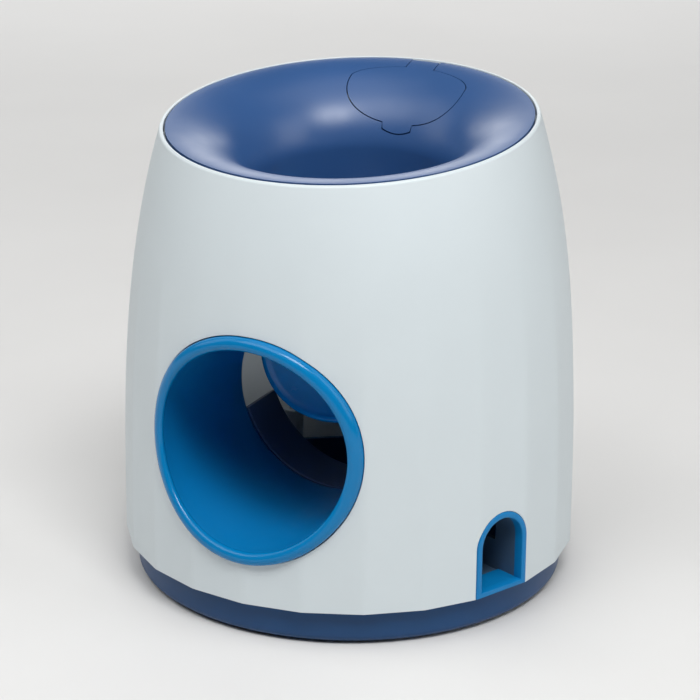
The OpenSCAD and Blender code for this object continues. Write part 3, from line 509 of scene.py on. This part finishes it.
def funnel_at(th, w, off=0.0):
    """Point and normal on the funnel: th degrees from the back, w along the wall from the rim."""
    rho, h = np.interp(w, LINE_W, LINE_R), np.interp(w, LINE_W, LINE_H)
    e = 0.6
    dr = np.interp(w + e, LINE_W, LINE_R) - np.interp(w - e, LINE_W, LINE_R)
    dh = np.interp(w + e, LINE_W, LINE_H) - np.interp(w - e, LINE_W, LINE_H)
    n = np.hypot(dr, dh)
    nr, nh = dh / n, -dr / n
    t = th * RAD
    p = np.stack([(rho + off * nr) * np.sin(t), (rho + off * nr) * np.cos(t), h + off * nh], -1)
    nn = np.stack([nr * np.sin(t), nr * np.cos(t), nh], -1)
    return from_rim(p), from_rim(nn) - RIM_O


# Lid: sizes of its outline, its ear and its finger tab, and the draft of its edge in degrees
LID_X, LID_HW, LID_TOP, LID_LOW = -0.15, 24.1, FUNNEL_R - 6.1, THROAT_R + 2.85
LID_POWER_TOP, LID_POWER_LOW = 1.5, 2.6
EAR_W, TAB_W, TAB_L, TAB_BOW, SEAM = 11.2, 12.0, 2.2, 1.0, 0.4
HINGE_V, HINGE_H, BARREL, EAR_TAIL = FUNNEL_R - 3, -2.2, 2.0, 1.9
PIN_BORE, BARREL_GAP, EDGE_D, SEAM_STEP = 0.95, 0.2, 2.0, 0.8
SKIRT_T, SKIRT_D, KNUCKLE_W, KNUCKLE_GAP, KNUCKLE_TOP = 2.0, 2.6, 3.4, 0.05, 1.0
POST_X, POST_Y, POST_LOW, POST_TOP = 36.0, 48.0, 148.5, 175.0
DRAFT_TOP, DRAFT_LOW = 52, 6
# Grid points stay this far from the outline of the lid
CUT_ROOM_FUNNEL, CUT_ROOM_LID = 0.75, 0.7
# Map points closer than this are the same
SAME = 1e-3
LID_H0, LID_H1 = float(funnel_h(LID_LOW)), float(funnel_h(LID_TOP))
LID_SLOPE = math.atan2(LID_H1 - LID_H0, LID_TOP - LID_LOW)
LID_HL = math.hypot(LID_H1 - LID_H0, LID_TOP - LID_LOW) / 2
LID_V, LID_H = (LID_TOP + LID_LOW) / 2, (LID_H0 + LID_H1) / 2


def lid_ray(kind, t, w, inset):
    """A point of the lid's drafted edge at height w over its chord, in the rim's frame."""
    up, low = math.tan(DRAFT_TOP * RAD), math.tan(DRAFT_LOW * RAD)
    if kind == "edge":
        c, s = math.cos(t), math.sin(t)
        power = 2 / (LID_POWER_TOP if s > 0 else LID_POWER_LOW)
        x = (LID_HW - inset) * math.copysign(abs(c) ** power, c)
        v = w * (up - low) / 2 + (LID_HL - inset + w * (up + low) / 2) * math.copysign(abs(s) ** power, s)
    else:
        x, v = t, inset - LID_HL - TAB_L - TAB_BOW * (1 - (t / (TAB_W / 2 - inset)) ** 2)
    c, s = math.cos(LID_SLOPE), math.sin(LID_SLOPE)
    return np.array([LID_X + x, LID_V + c * v - s * w, LID_H + s * v + c * w])


def lid_meet(kind, t, inset, depth=0.0):
    """Where that edge meets the funnel's surface, or depth under it."""
    lo, hi = -9.0, 9.0
    for _ in range(45):
        mid = (lo + hi) / 2
        p = lid_ray(kind, t, mid, inset)
        rho = math.hypot(p[0], p[1])
        if p[2] > float(funnel_h(rho)):
            hi = mid
        else:
            lo = mid
    return lid_ray(kind, t, (lo + hi) / 2 - depth, inset)


def lid_outline(inset, ear_half):
    """Outline of the lid with its ear and its finger tab, as (x, back), and the same line lower down."""
    tab_half = TAB_W / 2 - inset
    ang = np.linspace(0, 2 * math.pi, 180, endpoint=False)
    top, low = [], []
    ring = [(lid_meet("edge", a, inset), lid_meet("edge", a, inset, EDGE_D)) for a in ang]
    state = None
    end_v = FUNNEL_R if inset == 0 else HINGE_V + EAR_TAIL
    for a, (p, q) in zip(ang, ring):
        x = p[0] - LID_X
        if abs(x) < ear_half and math.sin(a) > 0:
            if state != "ear":
                for sx, sv in ((ear_half, p[1]), (ear_half, end_v), (-ear_half, end_v), (-ear_half, p[1])):
                    rho = math.hypot(LID_X + sx, sv)
                    top.append((LID_X + sx, sv))
                    low.append((LID_X + sx, sv, float(funnel_h(rho)) - EDGE_D))
            state = "ear"
        elif abs(x) < tab_half and math.sin(a) < 0:
            if state != "tab":
                for sx in np.linspace(-tab_half, tab_half, 9):
                    tp, tq = lid_meet("tab", sx, inset), lid_meet("tab", sx, inset, EDGE_D)
                    top.append((tp[0], tp[1]))
                    low.append(tuple(tq))
            state = "tab"
        else:
            top.append((p[0], p[1]))
            low.append(tuple(q))
            state = None
    return np.array(top), np.array(low)


def on_funnel(xv):
    rho = np.hypot(xv[:, 0], xv[:, 1])
    w = np.interp(-rho, -LINE_R[:LINE_STEPS], LINE_W[:LINE_STEPS])
    return np.stack([np.degrees(np.arctan2(xv[:, 0], xv[:, 1])) * RAD * FU, w], -1)


def dense(pts, step):
    """More points along a closed outline, with the old point before each and the share to the next."""
    out, src = [], []
    n = len(pts)
    for i in range(n):
        a, b = pts[i], pts[(i + 1) % n]
        m = max(1, int(np.linalg.norm(b - a) / step))
        for k in range(m):
            out.append(a + (b - a) * k / m)
            src.append((i, k / m))
    return np.array(out), src


def seam_line(inset, ear_half):
    """The lid's outline on the funnel's flat map, and the points where its drafted edge ends below."""
    top, low = lid_outline(inset, ear_half)
    cut, src = dense(on_funnel(top), SEAM_STEP)
    return cut, from_rim([low[i] * (1 - t) + low[(i + 1) % len(low)] * t for i, t in src])


def on_seam(cut, uv):
    """Pairs of a map point and the outline point that it lies on."""
    for j, c in enumerate(cut):
        d = np.abs(uv - c).sum(1)
        i = int(np.argmin(d))
        if d[i] < SAME:
            yield i, j


def make_funnel():
    cut, low_pts = seam_line(0.0, EAR_W / 2 + SEAM)
    ths = np.linspace(-180, 180, 241)
    w_throat = LINE_W[LINE_STEPS - 1]
    ws = np.concatenate([np.linspace(0, w_throat, 52), np.linspace(w_throat, W_END, 8)[1:]])
    grid = np.array([(t * RAD * FU, w) for t in ths[1:-1] for w in ws[1:-1]])
    grid = grid[~(inside(cut, grid) | near(cut, grid, CUT_ROOM_FUNNEL))]
    rim = np.array([(t * RAD * FU, 0.0) for t in ths])
    end = np.array([(t * RAD * FU, W_END) for t in ths])
    side = np.array([(180 * RAD * FU, w) for w in ws[1:-1]])
    loops = [(cut, True), (rim, False), (end, False), (side, False), (side * [-1, 1], False)]
    uv, tris = triangulate(grid, loops)
    mid = np.array([uv[list(t)].mean(0) for t in tris])
    tris = [t for t, k in zip(tris, inside(cut, mid)) if not k]
    th, w = uv[:, 0] / FU / RAD, uv[:, 1]
    number, first = joined(th, w)
    th, w = th[first], w[first]
    s = Shape()
    p, nrm = funnel_at(th, w)
    out = s.add(p, nrm)
    under, _ = funnel_at(th, w, -FUNNEL_WALL)
    for i, j in on_seam(cut, uv):
        under[number[i]] = low_pts[j]
    ins = s.add(under)
    for a, b in s.skins([[number[i] for i in t] for t in tris], out, ins):
        s.face((out + b, out + a, ins + a, ins + b))
    # skirt that stands on the shell's ledge, open where the lid's hinge turns
    ear_room, inset, top_out, top_in = 0.1, 0.05, -0.15, -0.6
    open_half = math.asin((EAR_W / 2 + SEAM + ear_room) / (FUNNEL_R - SKIRT_T))
    a = np.linspace(open_half, 2 * math.pi - open_half, 120)
    ring = lambda r, h: from_rim(np.stack([r * np.sin(a), r * np.cos(a), 0 * a + h], -1))
    skirt = ((inset, top_out), (inset, -SKIRT_D), (SKIRT_T, -SKIRT_D), (SKIRT_T, top_in))
    ids = s.loft([ring(FUNNEL_R - d, h) for d, h in skirt], False, True)
    s.face([r[0] for r in ids])
    s.face([r[-1] for r in ids][::-1])
    # knuckles beside the ear, and posts for the hopper screws
    for side_x in (-1, 1):
        x0 = LID_X + side_x * (EAR_W / 2 + SEAM + KNUCKLE_W / 2 + KNUCKLE_GAP)
        low_corner = (x0 - KNUCKLE_W / 2, HINGE_V - BARREL, HINGE_H - BARREL)
        s.box(low_corner, (x0 + KNUCKLE_W / 2, HINGE_V + BARREL, HINGE_H + KNUCKLE_TOP), from_rim)
        at = np.array([side_x * POST_X, POST_Y, 0.0])
        post = [(BOSS_IN, POST_LOW), (BOSS_R, POST_LOW), (BOSS_R, POST_TOP), (BOSS_IN, POST_TOP)]
        s.lathe(post, lambda q, at=at: q + at, 24)
    s.build("funnel_top", "housing", FUNNEL_BLUE, "funnel", CREASE, recalc=False)


def make_lid():
    cut, low_pts = seam_line(SEAM, EAR_W / 2)
    lo, hi = cut.min(0), cut.max(0)
    start, step = 0.5, 1.1
    gx, gy = np.meshgrid(np.arange(lo[0] + start, hi[0], step), np.arange(lo[1] + start, hi[1], step))
    grid = np.stack([gx.ravel(), gy.ravel()], -1)
    grid = grid[inside(cut, grid) & ~near(cut, grid, CUT_ROOM_LID)]
    uv, tris = triangulate(grid, [(cut, True)])
    mid = np.array([uv[list(t)].mean(0) for t in tris])
    tris = [t for t, k in zip(tris, inside(cut, mid)) if k]
    s = Shape()
    p, nrm = funnel_at(uv[:, 0] / FU / RAD, uv[:, 1])
    under, _ = funnel_at(uv[:, 0] / FU / RAD, uv[:, 1], -FUNNEL_WALL)
    for i, j in on_seam(cut, uv):
        under[i] = low_pts[j]
    out, ins = s.add(p, nrm), s.add(under)
    for a, b in s.skins(tris, out, ins):
        s.face((out + b, out + a, ins + a, ins + b))
    turn = lambda q: from_rim(np.stack([LID_X + q[:, 2], HINGE_V + q[:, 0], HINGE_H + q[:, 1]], -1))
    barrel_r, ear = BARREL - BARREL_GAP, EAR_W / 2
    s.lathe([(PIN_BORE, -ear), (barrel_r, -ear), (barrel_r, ear), (PIN_BORE, ear)], turn, 32)
    # rounded end of the ear, on one circle about the pin
    under_skin, last = 0.1, -20
    top_h = -HINGE_H - under_skin
    ang = np.linspace(math.atan2(top_h, EAR_TAIL), last * RAD, 9)
    arc = np.stack([np.cos(ang), np.sin(ang)], -1)
    line = np.concatenate([arc * math.hypot(EAR_TAIL, top_h), arc[::-1] * (barrel_r - under_skin)])
    ends = [turn(np.column_stack([line, np.full(len(line), x)])) for x in (ear, -ear)]
    ids = s.loft(ends)
    s.face(ids[0][::-1])
    s.face(ids[1])
    s.build("lid_panel", "lid", FUNNEL_BLUE, "treat_lid", CREASE, recalc=False)


make_funnel()
make_lid()


# Ball tube, with a bead that follows the round body under the shell's flats

def make_tube():
    f = np.linspace(0, 2 * math.pi, 240, endpoint=False)

    def row(rho, d=None, y=None):
        """A ring of the tube at depth y, or d outside the round body."""
        x, z = rho * np.sin(f), TUBE_Z + rho * np.cos(f)
        if y is None:
            y = -np.sqrt(np.maximum(1.0, body_radius(z) ** 2 - x ** 2)) - d
        return np.stack([x, y + 0 * x, z], -1)

    tube_out, skin, round_in = TUBE_R + TUBE_WALL, 0.1, 0.4
    half_w, mid = BEAD_W / 2 - skin, TUBE_R - BEAD_LIP + BEAD_W / 2
    flare_w, flare_l, rise = 1.3, 3.0, 0.2
    turn = np.radians(np.linspace(0, 90, 10))
    over = np.radians(np.linspace(205, 0, 31))
    # flared inner end, straight bore, the end under the bead, then back along the outside
    rows = []
    for a in turn:
        rows.append(row(TUBE_R + flare_w * (1 - math.sin(a)), y=TUBE_END - flare_l * (1 - math.cos(a))))
    rows += [row(TUBE_R, y=y) for y in (TUBE_END - 2 * flare_l, -35.0, -50.0)]
    rows += [row(TUBE_R, d=d) for d in (-14.0, -8.0, -1.8)] + [row(TUBE_R - skin, d=-1.3)]
    rows += [row(TUBE_R, d=0.0), row(tube_out, d=0.0), row(tube_out, d=-2.0)]
    rows += [row(tube_out, y=TUBE_END - round_in), row(tube_out - round_in, y=TUBE_END)]
    s = Shape()
    s.loft(rows, True, True)
    s.build("ball_tube", "housing", BLUE, "exit_tube", CREASE_ROUND)
    crest, sunk = BEAD_H - skin - rise, -1.6
    rows = [row(mid + half_w * math.cos(a), d=rise + crest * math.sin(a)) for a in over]
    rows += [row(mid + half_w, d=sunk), row(mid, d=sunk)]
    s = Shape()
    s.loft(rows, True, True)
    s.build("tube_bead", "housing", BEAD_BLUE, "exit_tube", CREASE_ROUND)


make_tube()


# Trough: the tube's floor carried on to the dish, with a foot on the base

def make_trough():
    a = np.radians(np.linspace(-TROUGH_LEFT, TROUGH_RIGHT, 90))
    gap, step_down, soft, bend = 0.2, 0.12, 0.5, 0.3
    foot_hw, foot_in, foot_low, foot_top = 14, 3, 4.3, TUBE_Z - TUBE_R - 1.0
    y0, y1 = TUBE_END + gap, TUBE_END + gap + TROUGH_LEN

    def row(r, y):
        return np.stack([r * np.sin(a), y + 0 * a, TUBE_Z - r * np.cos(a)], -1)

    near_r, far_r = TUBE_R + step_down, TUBE_R + TROUGH_WALL
    s = Shape()
    rows = [row(near_r + soft, y0), row(near_r, y0 + soft), row(near_r, y1 - soft), row(near_r + soft, y1),
            row(far_r - bend, y1), row(far_r, y1 - bend), row(far_r, y0 + bend), row(far_r - bend, y0)]
    ids = s.loft(rows, False, True)
    s.face([r[0] for r in ids])
    s.face([r[-1] for r in ids][::-1])
    s.box((-foot_hw, y0 + foot_in, foot_low), (foot_hw, y1 - foot_in, foot_top))
    s.build("trough_channel", "housing", TROUGH, "ball_trough", CREASE_ROUND)


make_trough()


# Dish with its web and hub

SHAFT = np.array([0, 32.0, RIM_Z - 49.7])
DISH_R, DISH_D, DISH_W, DISH_TILT, DISH_OFF = 37.0, 7.0, 1.8, 49.0, 8.3
WEB_HW, WEB_IN, WEB_TOP, WEB_LOW = 13.0, 4.0, 0.2, 2.4
HUB_HW, HUB_R, HUB_BORE, HUB_EDGE = 14.0, 5.5, 2.55, 0.4
FINGER_LOW, FINGER_HIGH = (-4, 5.0, -2.5), (4, 7.3, 0.0)


def from_dish(p):
    """Points of the dish's own frame, in which its rim lies flat, in the object's frame."""
    p = np.asarray(p, float) + [0, -(DISH_R + DISH_OFF), DISH_W]
    c, s = math.cos(DISH_TILT * RAD), math.sin(DISH_TILT * RAD)
    return np.stack([p[..., 0], c * p[..., 1] - s * p[..., 2], s * p[..., 1] + c * p[..., 2]], -1) + SHAFT


def make_dish():
    ball = (DISH_R ** 2 + DISH_D ** 2) / (2 * DISH_D)
    lip = DISH_W * 0.7
    span = math.asin((DISH_R - 2 * lip) / ball)
    middle = 0.02
    a = np.linspace(middle, span, 26)
    top = [(ball * math.sin(t), ball - DISH_D - ball * math.cos(t)) for t in a]
    turn = np.radians(np.arange(115, -121, -12))
    rim = [(DISH_R - lip + lip * math.cos(t), -DISH_W * 0.75 + lip * math.sin(t)) for t in turn]
    low = [((ball + DISH_W) * math.sin(t), ball - DISH_D - (ball + DISH_W) * math.cos(t)) for t in a[::-1]]
    s = Shape()
    ids = s.lathe(top + rim + low, from_dish, 128, wrap=False)
    s.face(ids[0][::-1])
    s.face(ids[-1])
    web_end = (WEB_HW, DISH_R + DISH_OFF, -DISH_W - WEB_TOP)
    s.box((-WEB_HW, DISH_R - WEB_IN, -DISH_W - WEB_LOW), web_end, from_dish)
    hub = lambda q: np.stack([q[:, 2], q[:, 0], q[:, 1]], -1) + SHAFT
    edge, side = HUB_R - HUB_EDGE, HUB_HW - HUB_EDGE
    s.lathe([(HUB_BORE, -HUB_HW), (edge, -HUB_HW), (HUB_R, -side), (HUB_R, side), (edge, HUB_HW),
             (HUB_BORE, HUB_HW)], hub, 48)
    # stop finger at the back of the hub
    s.box(FINGER_LOW, FINGER_HIGH, lambda q: q + SHAFT)
    # the dish takes the brightened blue, painted light
    s.build("dish_cup", "paddle", LIT_DISH_BLUE, "paddle_dish", CREASE_THIN)


make_dish()


# Treat outlet: frame, hood and tray

def make_outlet():
    proud, side_t, seam = 0.25, 2.0, 0.02
    y0 = -(BODY_R * math.cos(math.pi / FACETS) + proud)
    z0 = BASE_H + ARCH_GAP
    side_w, out_w = OUTLET_HW + side_t, OUTLET_HW + OUTLET_FRAME
    c, s_ = math.cos(OUTLET_AZ * RAD), math.sin(OUTLET_AZ * RAD)

    def place(q):
        q = np.asarray(q, float)
        return np.stack([c * q[:, 0] - s_ * q[:, 1], s_ * q[:, 0] + c * q[:, 1], q[:, 2]], -1)

    def hoop(half_w, low, y):
        line = arch_line(half_w, low)
        return place(np.stack([line[:, 0], 0 * line[:, 0] + y, line[:, 1]], -1))

    sill, wall_top, tray_drop = z0 + 1.8, 27.0, 0.6
    flange, blue_end, floor_end, hood_end, back = y0 + 3.0, y0 + 3.8, y0 + 12.0, y0 + 14.0, y0 + 33.0
    s = Shape()
    # rounded outer edge, flat front, rounded inner edge, then the bore and the back of the frame
    outside = [hoop(out_w, z0, y0 + 0.35), hoop(out_w - 0.12, z0 + 0.05, y0 + 0.1),
               hoop(out_w - 0.4, z0 + 0.1, y0), hoop(OUTLET_HW + 0.45, sill - 0.45, y0),
               hoop(OUTLET_HW + 0.13, sill - 0.13, y0 + 0.13), hoop(OUTLET_HW, sill, y0 + 0.45)]
    behind = [hoop(OUTLET_HW, sill, blue_end), hoop(side_w, z0, blue_end), hoop(side_w, z0, flange),
              hoop(out_w, z0, flange)]
    s.loft(outside + behind, True, True)
    s.box((-OUTLET_HW, blue_end - seam, z0 + seam), (OUTLET_HW, floor_end, sill), place)
    s.build("outlet_arch", "housing", BLUE, "treat_outlet", CREASE_THIN)
    low = sill - tray_drop
    # behind blue_end the hood, tray and walls take the dark navy, painted shade deep in the outlet
    t = Shape()
    t.loft([hoop(OUTLET_HW, low, blue_end + seam), hoop(OUTLET_HW, low, hood_end),
            hoop(side_w, z0, hood_end), hoop(side_w, z0, blue_end + seam)], True, True)
    t.box((-side_w, hood_end, z0), (side_w, back, low), place)
    t.box((-side_w, hood_end, low), (-OUTLET_HW, back, wall_top), place)
    t.box((OUTLET_HW, hood_end, low), (side_w, back, wall_top), place)
    t.box((-OUTLET_HW, back - side_t, low), (OUTLET_HW, back, wall_top), place)
    t.build("outlet_tray", "housing", SHADED_TRAY, "treat_outlet", CREASE_THIN)


make_outlet()


# CAD nodes that are kept: smoothed by a modifier, with their own materials

def smoothing():
    """Modifier that welds the CAD's triangles and shades them smooth up to the crease angle."""
    weld_m = 1e-6
    g = bpy.data.node_groups.new("soft_faces", "GeometryNodeTree")
    g.interface.new_socket("Geometry", in_out="INPUT", socket_type="NodeSocketGeometry")
    g.interface.new_socket("Geometry", in_out="OUTPUT", socket_type="NodeSocketGeometry")
    a, b = g.nodes.new("NodeGroupInput"), g.nodes.new("NodeGroupOutput")
    weld = g.nodes.new("GeometryNodeMergeByDistance")
    weld.inputs["Distance"].default_value = weld_m
    faces = g.nodes.new("GeometryNodeSetShadeSmooth")
    angle = g.nodes.new("GeometryNodeInputMeshEdgeAngle")
    big = g.nodes.new("FunctionNodeCompare")
    big.data_type, big.operation = "FLOAT", "GREATER_THAN"
    big.inputs[1].default_value = CREASE * RAD
    hard = g.nodes.new("GeometryNodeSetShadeSmooth")
    hard.domain = "EDGE"
    hard.inputs["Shade Smooth"].default_value = False
    link = g.links.new
    link(a.outputs[0], weld.inputs["Geometry"])
    link(weld.outputs[0], faces.inputs["Geometry"])
    link(faces.outputs[0], hard.inputs["Geometry"])
    link(angle.outputs["Unsigned Angle"], big.inputs[0])
    link(big.outputs[0], hard.inputs["Selection"])
    link(hard.outputs[0], b.inputs[0])
    return g


SOFT = smoothing()
KEPT = {
    "base_plate": NAVY, "rubber_feet": RUBBER, "base_screws": STEEL_Z, "lid_pin": STEEL_X,
    "tube_ring": DARK, "trough_screws": STEEL_Z, "paddle_shaft": STEEL_X, "sector_gear": GEAR,
    "shaft_clip": STEEL_X, "shaft_bushes": GEAR, "return_spring": STEEL_X, "stop_pad": RUBBER,
    "treat_hopper": GREY, "hopper_screws": STEEL_Z, "end_plate": GREY, "end_plate_screws": STEEL_X,
    "metering_drum": BLUE, "drum_shaft": STEEL_X, "drum_pinion": GEAR, "treat_slide": DARK,
    "slide_screws": STEEL_Z,
}
for name, mat in KEPT.items():
    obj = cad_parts[name]
    obj.data.materials.clear()
    obj.data.materials.append(mat)
    obj.modifiers.new("soft_faces", "NODES").node_group = SOFT


# Floor, light and camera

CAMERA_AZ, PAPER_TURN, PHOTO_W = 26.397, 26.4, 700


def make_floor():
    """Pale paper that bends up behind the object, square to the camera."""
    front, bend_y, bend_r, top, half_w, under, strips = -3.0, 2.2, 0.8, 3.5, 4.0, 0.0002, 8
    bm = bmesh.new()
    line = [(y, 0.0) for y in np.linspace(front, bend_y, 40)]
    for a in np.linspace(0, math.pi / 2, 24)[1:]:
        line.append((bend_y + bend_r * math.sin(a), bend_r - bend_r * math.cos(a)))
    line += [(bend_y + bend_r, z) for z in np.linspace(bend_r, top, 8)[1:]]
    rows = []
    for y, z in line:
        rows.append([bm.verts.new((x, y, z - under)) for x in np.linspace(-half_w, half_w, strips + 1)])
    for a, b in zip(rows, rows[1:]):
        for i in range(strips):
            bm.faces.new((a[i], a[i + 1], b[i + 1], b[i]))
    mesh = bpy.data.meshes.new("floor")
    bm.to_mesh(mesh)
    bm.free()
    mesh.shade_smooth()
    obj = bpy.data.objects.new("floor", mesh)
    obj.rotation_euler = (0, 0, PAPER_TURN * RAD)
    bpy.context.scene.collection.objects.link(obj)
    mat, t, bsdf = nodes_of("floor_paper")
    co = node(t, "ShaderNodeTexCoord")
    noise = node(t, "ShaderNodeTexNoise", Scale=6.0, Detail=3.0)
    cols = ramp(t, [(0.3, (0.67, 0.665, 0.655)), (0.7, (0.70, 0.695, 0.685))])
    t.links.new(co.outputs["Object"], noise.inputs["Vector"])
    t.links.new(noise.outputs["Fac"], cols.inputs["Fac"])
    t.links.new(cols.outputs["Color"], bsdf.inputs["Base Color"])
    bsdf.inputs["Roughness"].default_value = 0.85
    # far from the object, where no lamp reaches, the paper stays pale for the camera
    far = node(t, "ShaderNodeVectorMath", operation="LENGTH")
    fade = node(t, "ShaderNodeMapRange", interpolation_type="SMOOTHSTEP")
    fade.inputs["From Min"].default_value, fade.inputs["From Max"].default_value = 0.45, 1.8
    seen = node(t, "ShaderNodeLightPath")
    share = node(t, "ShaderNodeMath", operation="MULTIPLY")
    pale = node(t, "ShaderNodeEmission")
    pale.inputs["Color"].default_value = (0.79, 0.79, 0.785, 1)
    mix = node(t, "ShaderNodeMixShader")
    t.links.new(co.outputs["Object"], far.inputs[0])
    t.links.new(far.outputs["Value"], fade.inputs["Value"])
    t.links.new(fade.outputs["Result"], share.inputs[0])
    t.links.new(seen.outputs["Is Camera Ray"], share.inputs[1])
    t.links.new(share.outputs["Value"], mix.inputs["Fac"])
    t.links.new(bsdf.outputs["BSDF"], mix.inputs[1])
    t.links.new(pale.outputs["Emission"], mix.inputs[2])
    t.links.new(mix.outputs["Shader"], t.nodes["Material Output"].inputs["Surface"])
    obj.data.materials.append(mat)


def area(name, az, el, dist, size, power):
    """A lamp that faces the middle of the object."""
    data = bpy.data.lights.new(name, "AREA")
    data.shape, data.size, data.size_y, data.energy = "RECTANGLE", size[0], size[1], power
    obj = bpy.data.objects.new(name, data)
    a, e, aim = az * RAD, el * RAD, Vector((0, 0, 0.09))
    away = Vector((math.sin(a) * math.cos(e), -math.cos(a) * math.cos(e), math.sin(e)))
    obj.location = aim + away * dist
    obj.rotation_euler = away.to_track_quat("Z", "Y").to_euler()
    bpy.context.scene.collection.objects.link(obj)


def make_light():
    """Soft studio lamps: azimuth and height in degrees, distance and size in metres, power in watts."""
    world = bpy.data.worlds.new("studio")
    bpy.context.scene.world = world
    world.use_nodes = True
    back = world.node_tree.nodes["Background"]
    back.inputs["Color"].default_value = (0.96, 0.98, 1.0, 1)
    back.inputs["Strength"].default_value = 0.08
    area("key", 43, 54, 1.5, (0.62, 0.5), 13.6)
    area("front", -17, 54, 1.6, (1.3, 0.8), 9.4)
    area("left", -75, 35, 1.6, (0.8, 1.2), 3.8)
    area("right", 95, 30, 1.5, (0.9, 1.2), 6)
    area("top", 26, 85, 1.5, (1.2, 1.2), 4.5)
    area("back_card", -150, 14, 1.6, (1.6, 0.6), 8)


def make_camera():
    # distance and height in millimetres, angles in degrees, focal length and shift in pixels of the photo
    d, h, pitch, roll, focal, shift = 922.0, 408.65, 19.294, 0.445, 2610.9, (-0.7, -7.0)
    data = bpy.data.cameras.new("camera")
    data.sensor_width, data.sensor_fit = 36.0, "HORIZONTAL"
    data.lens = focal / PHOTO_W * data.sensor_width
    data.shift_x, data.shift_y = shift[0] / PHOTO_W, shift[1] / PHOTO_W
    data.clip_start, data.clip_end = 0.01, 50
    obj = bpy.data.objects.new("camera", data)
    a, p = CAMERA_AZ * RAD, pitch * RAD
    obj.location = Vector((d * math.sin(a), -d * math.cos(a), h)) * MM
    forward = Vector((-math.sin(a) * math.cos(p), math.cos(a) * math.cos(p), -math.sin(p)))
    right = Vector((math.cos(a), math.sin(a), 0))
    up = right.cross(forward)
    r = roll * RAD
    x, y = math.cos(r) * right + math.sin(r) * up, -math.sin(r) * right + math.cos(r) * up
    obj.rotation_euler = Matrix((x, y, -forward)).transposed().to_euler()
    bpy.context.scene.collection.objects.link(obj)
    bpy.context.scene.camera = obj


make_floor()
make_light()
make_camera()
bpy.context.scene.view_settings.view_transform = "Standard"
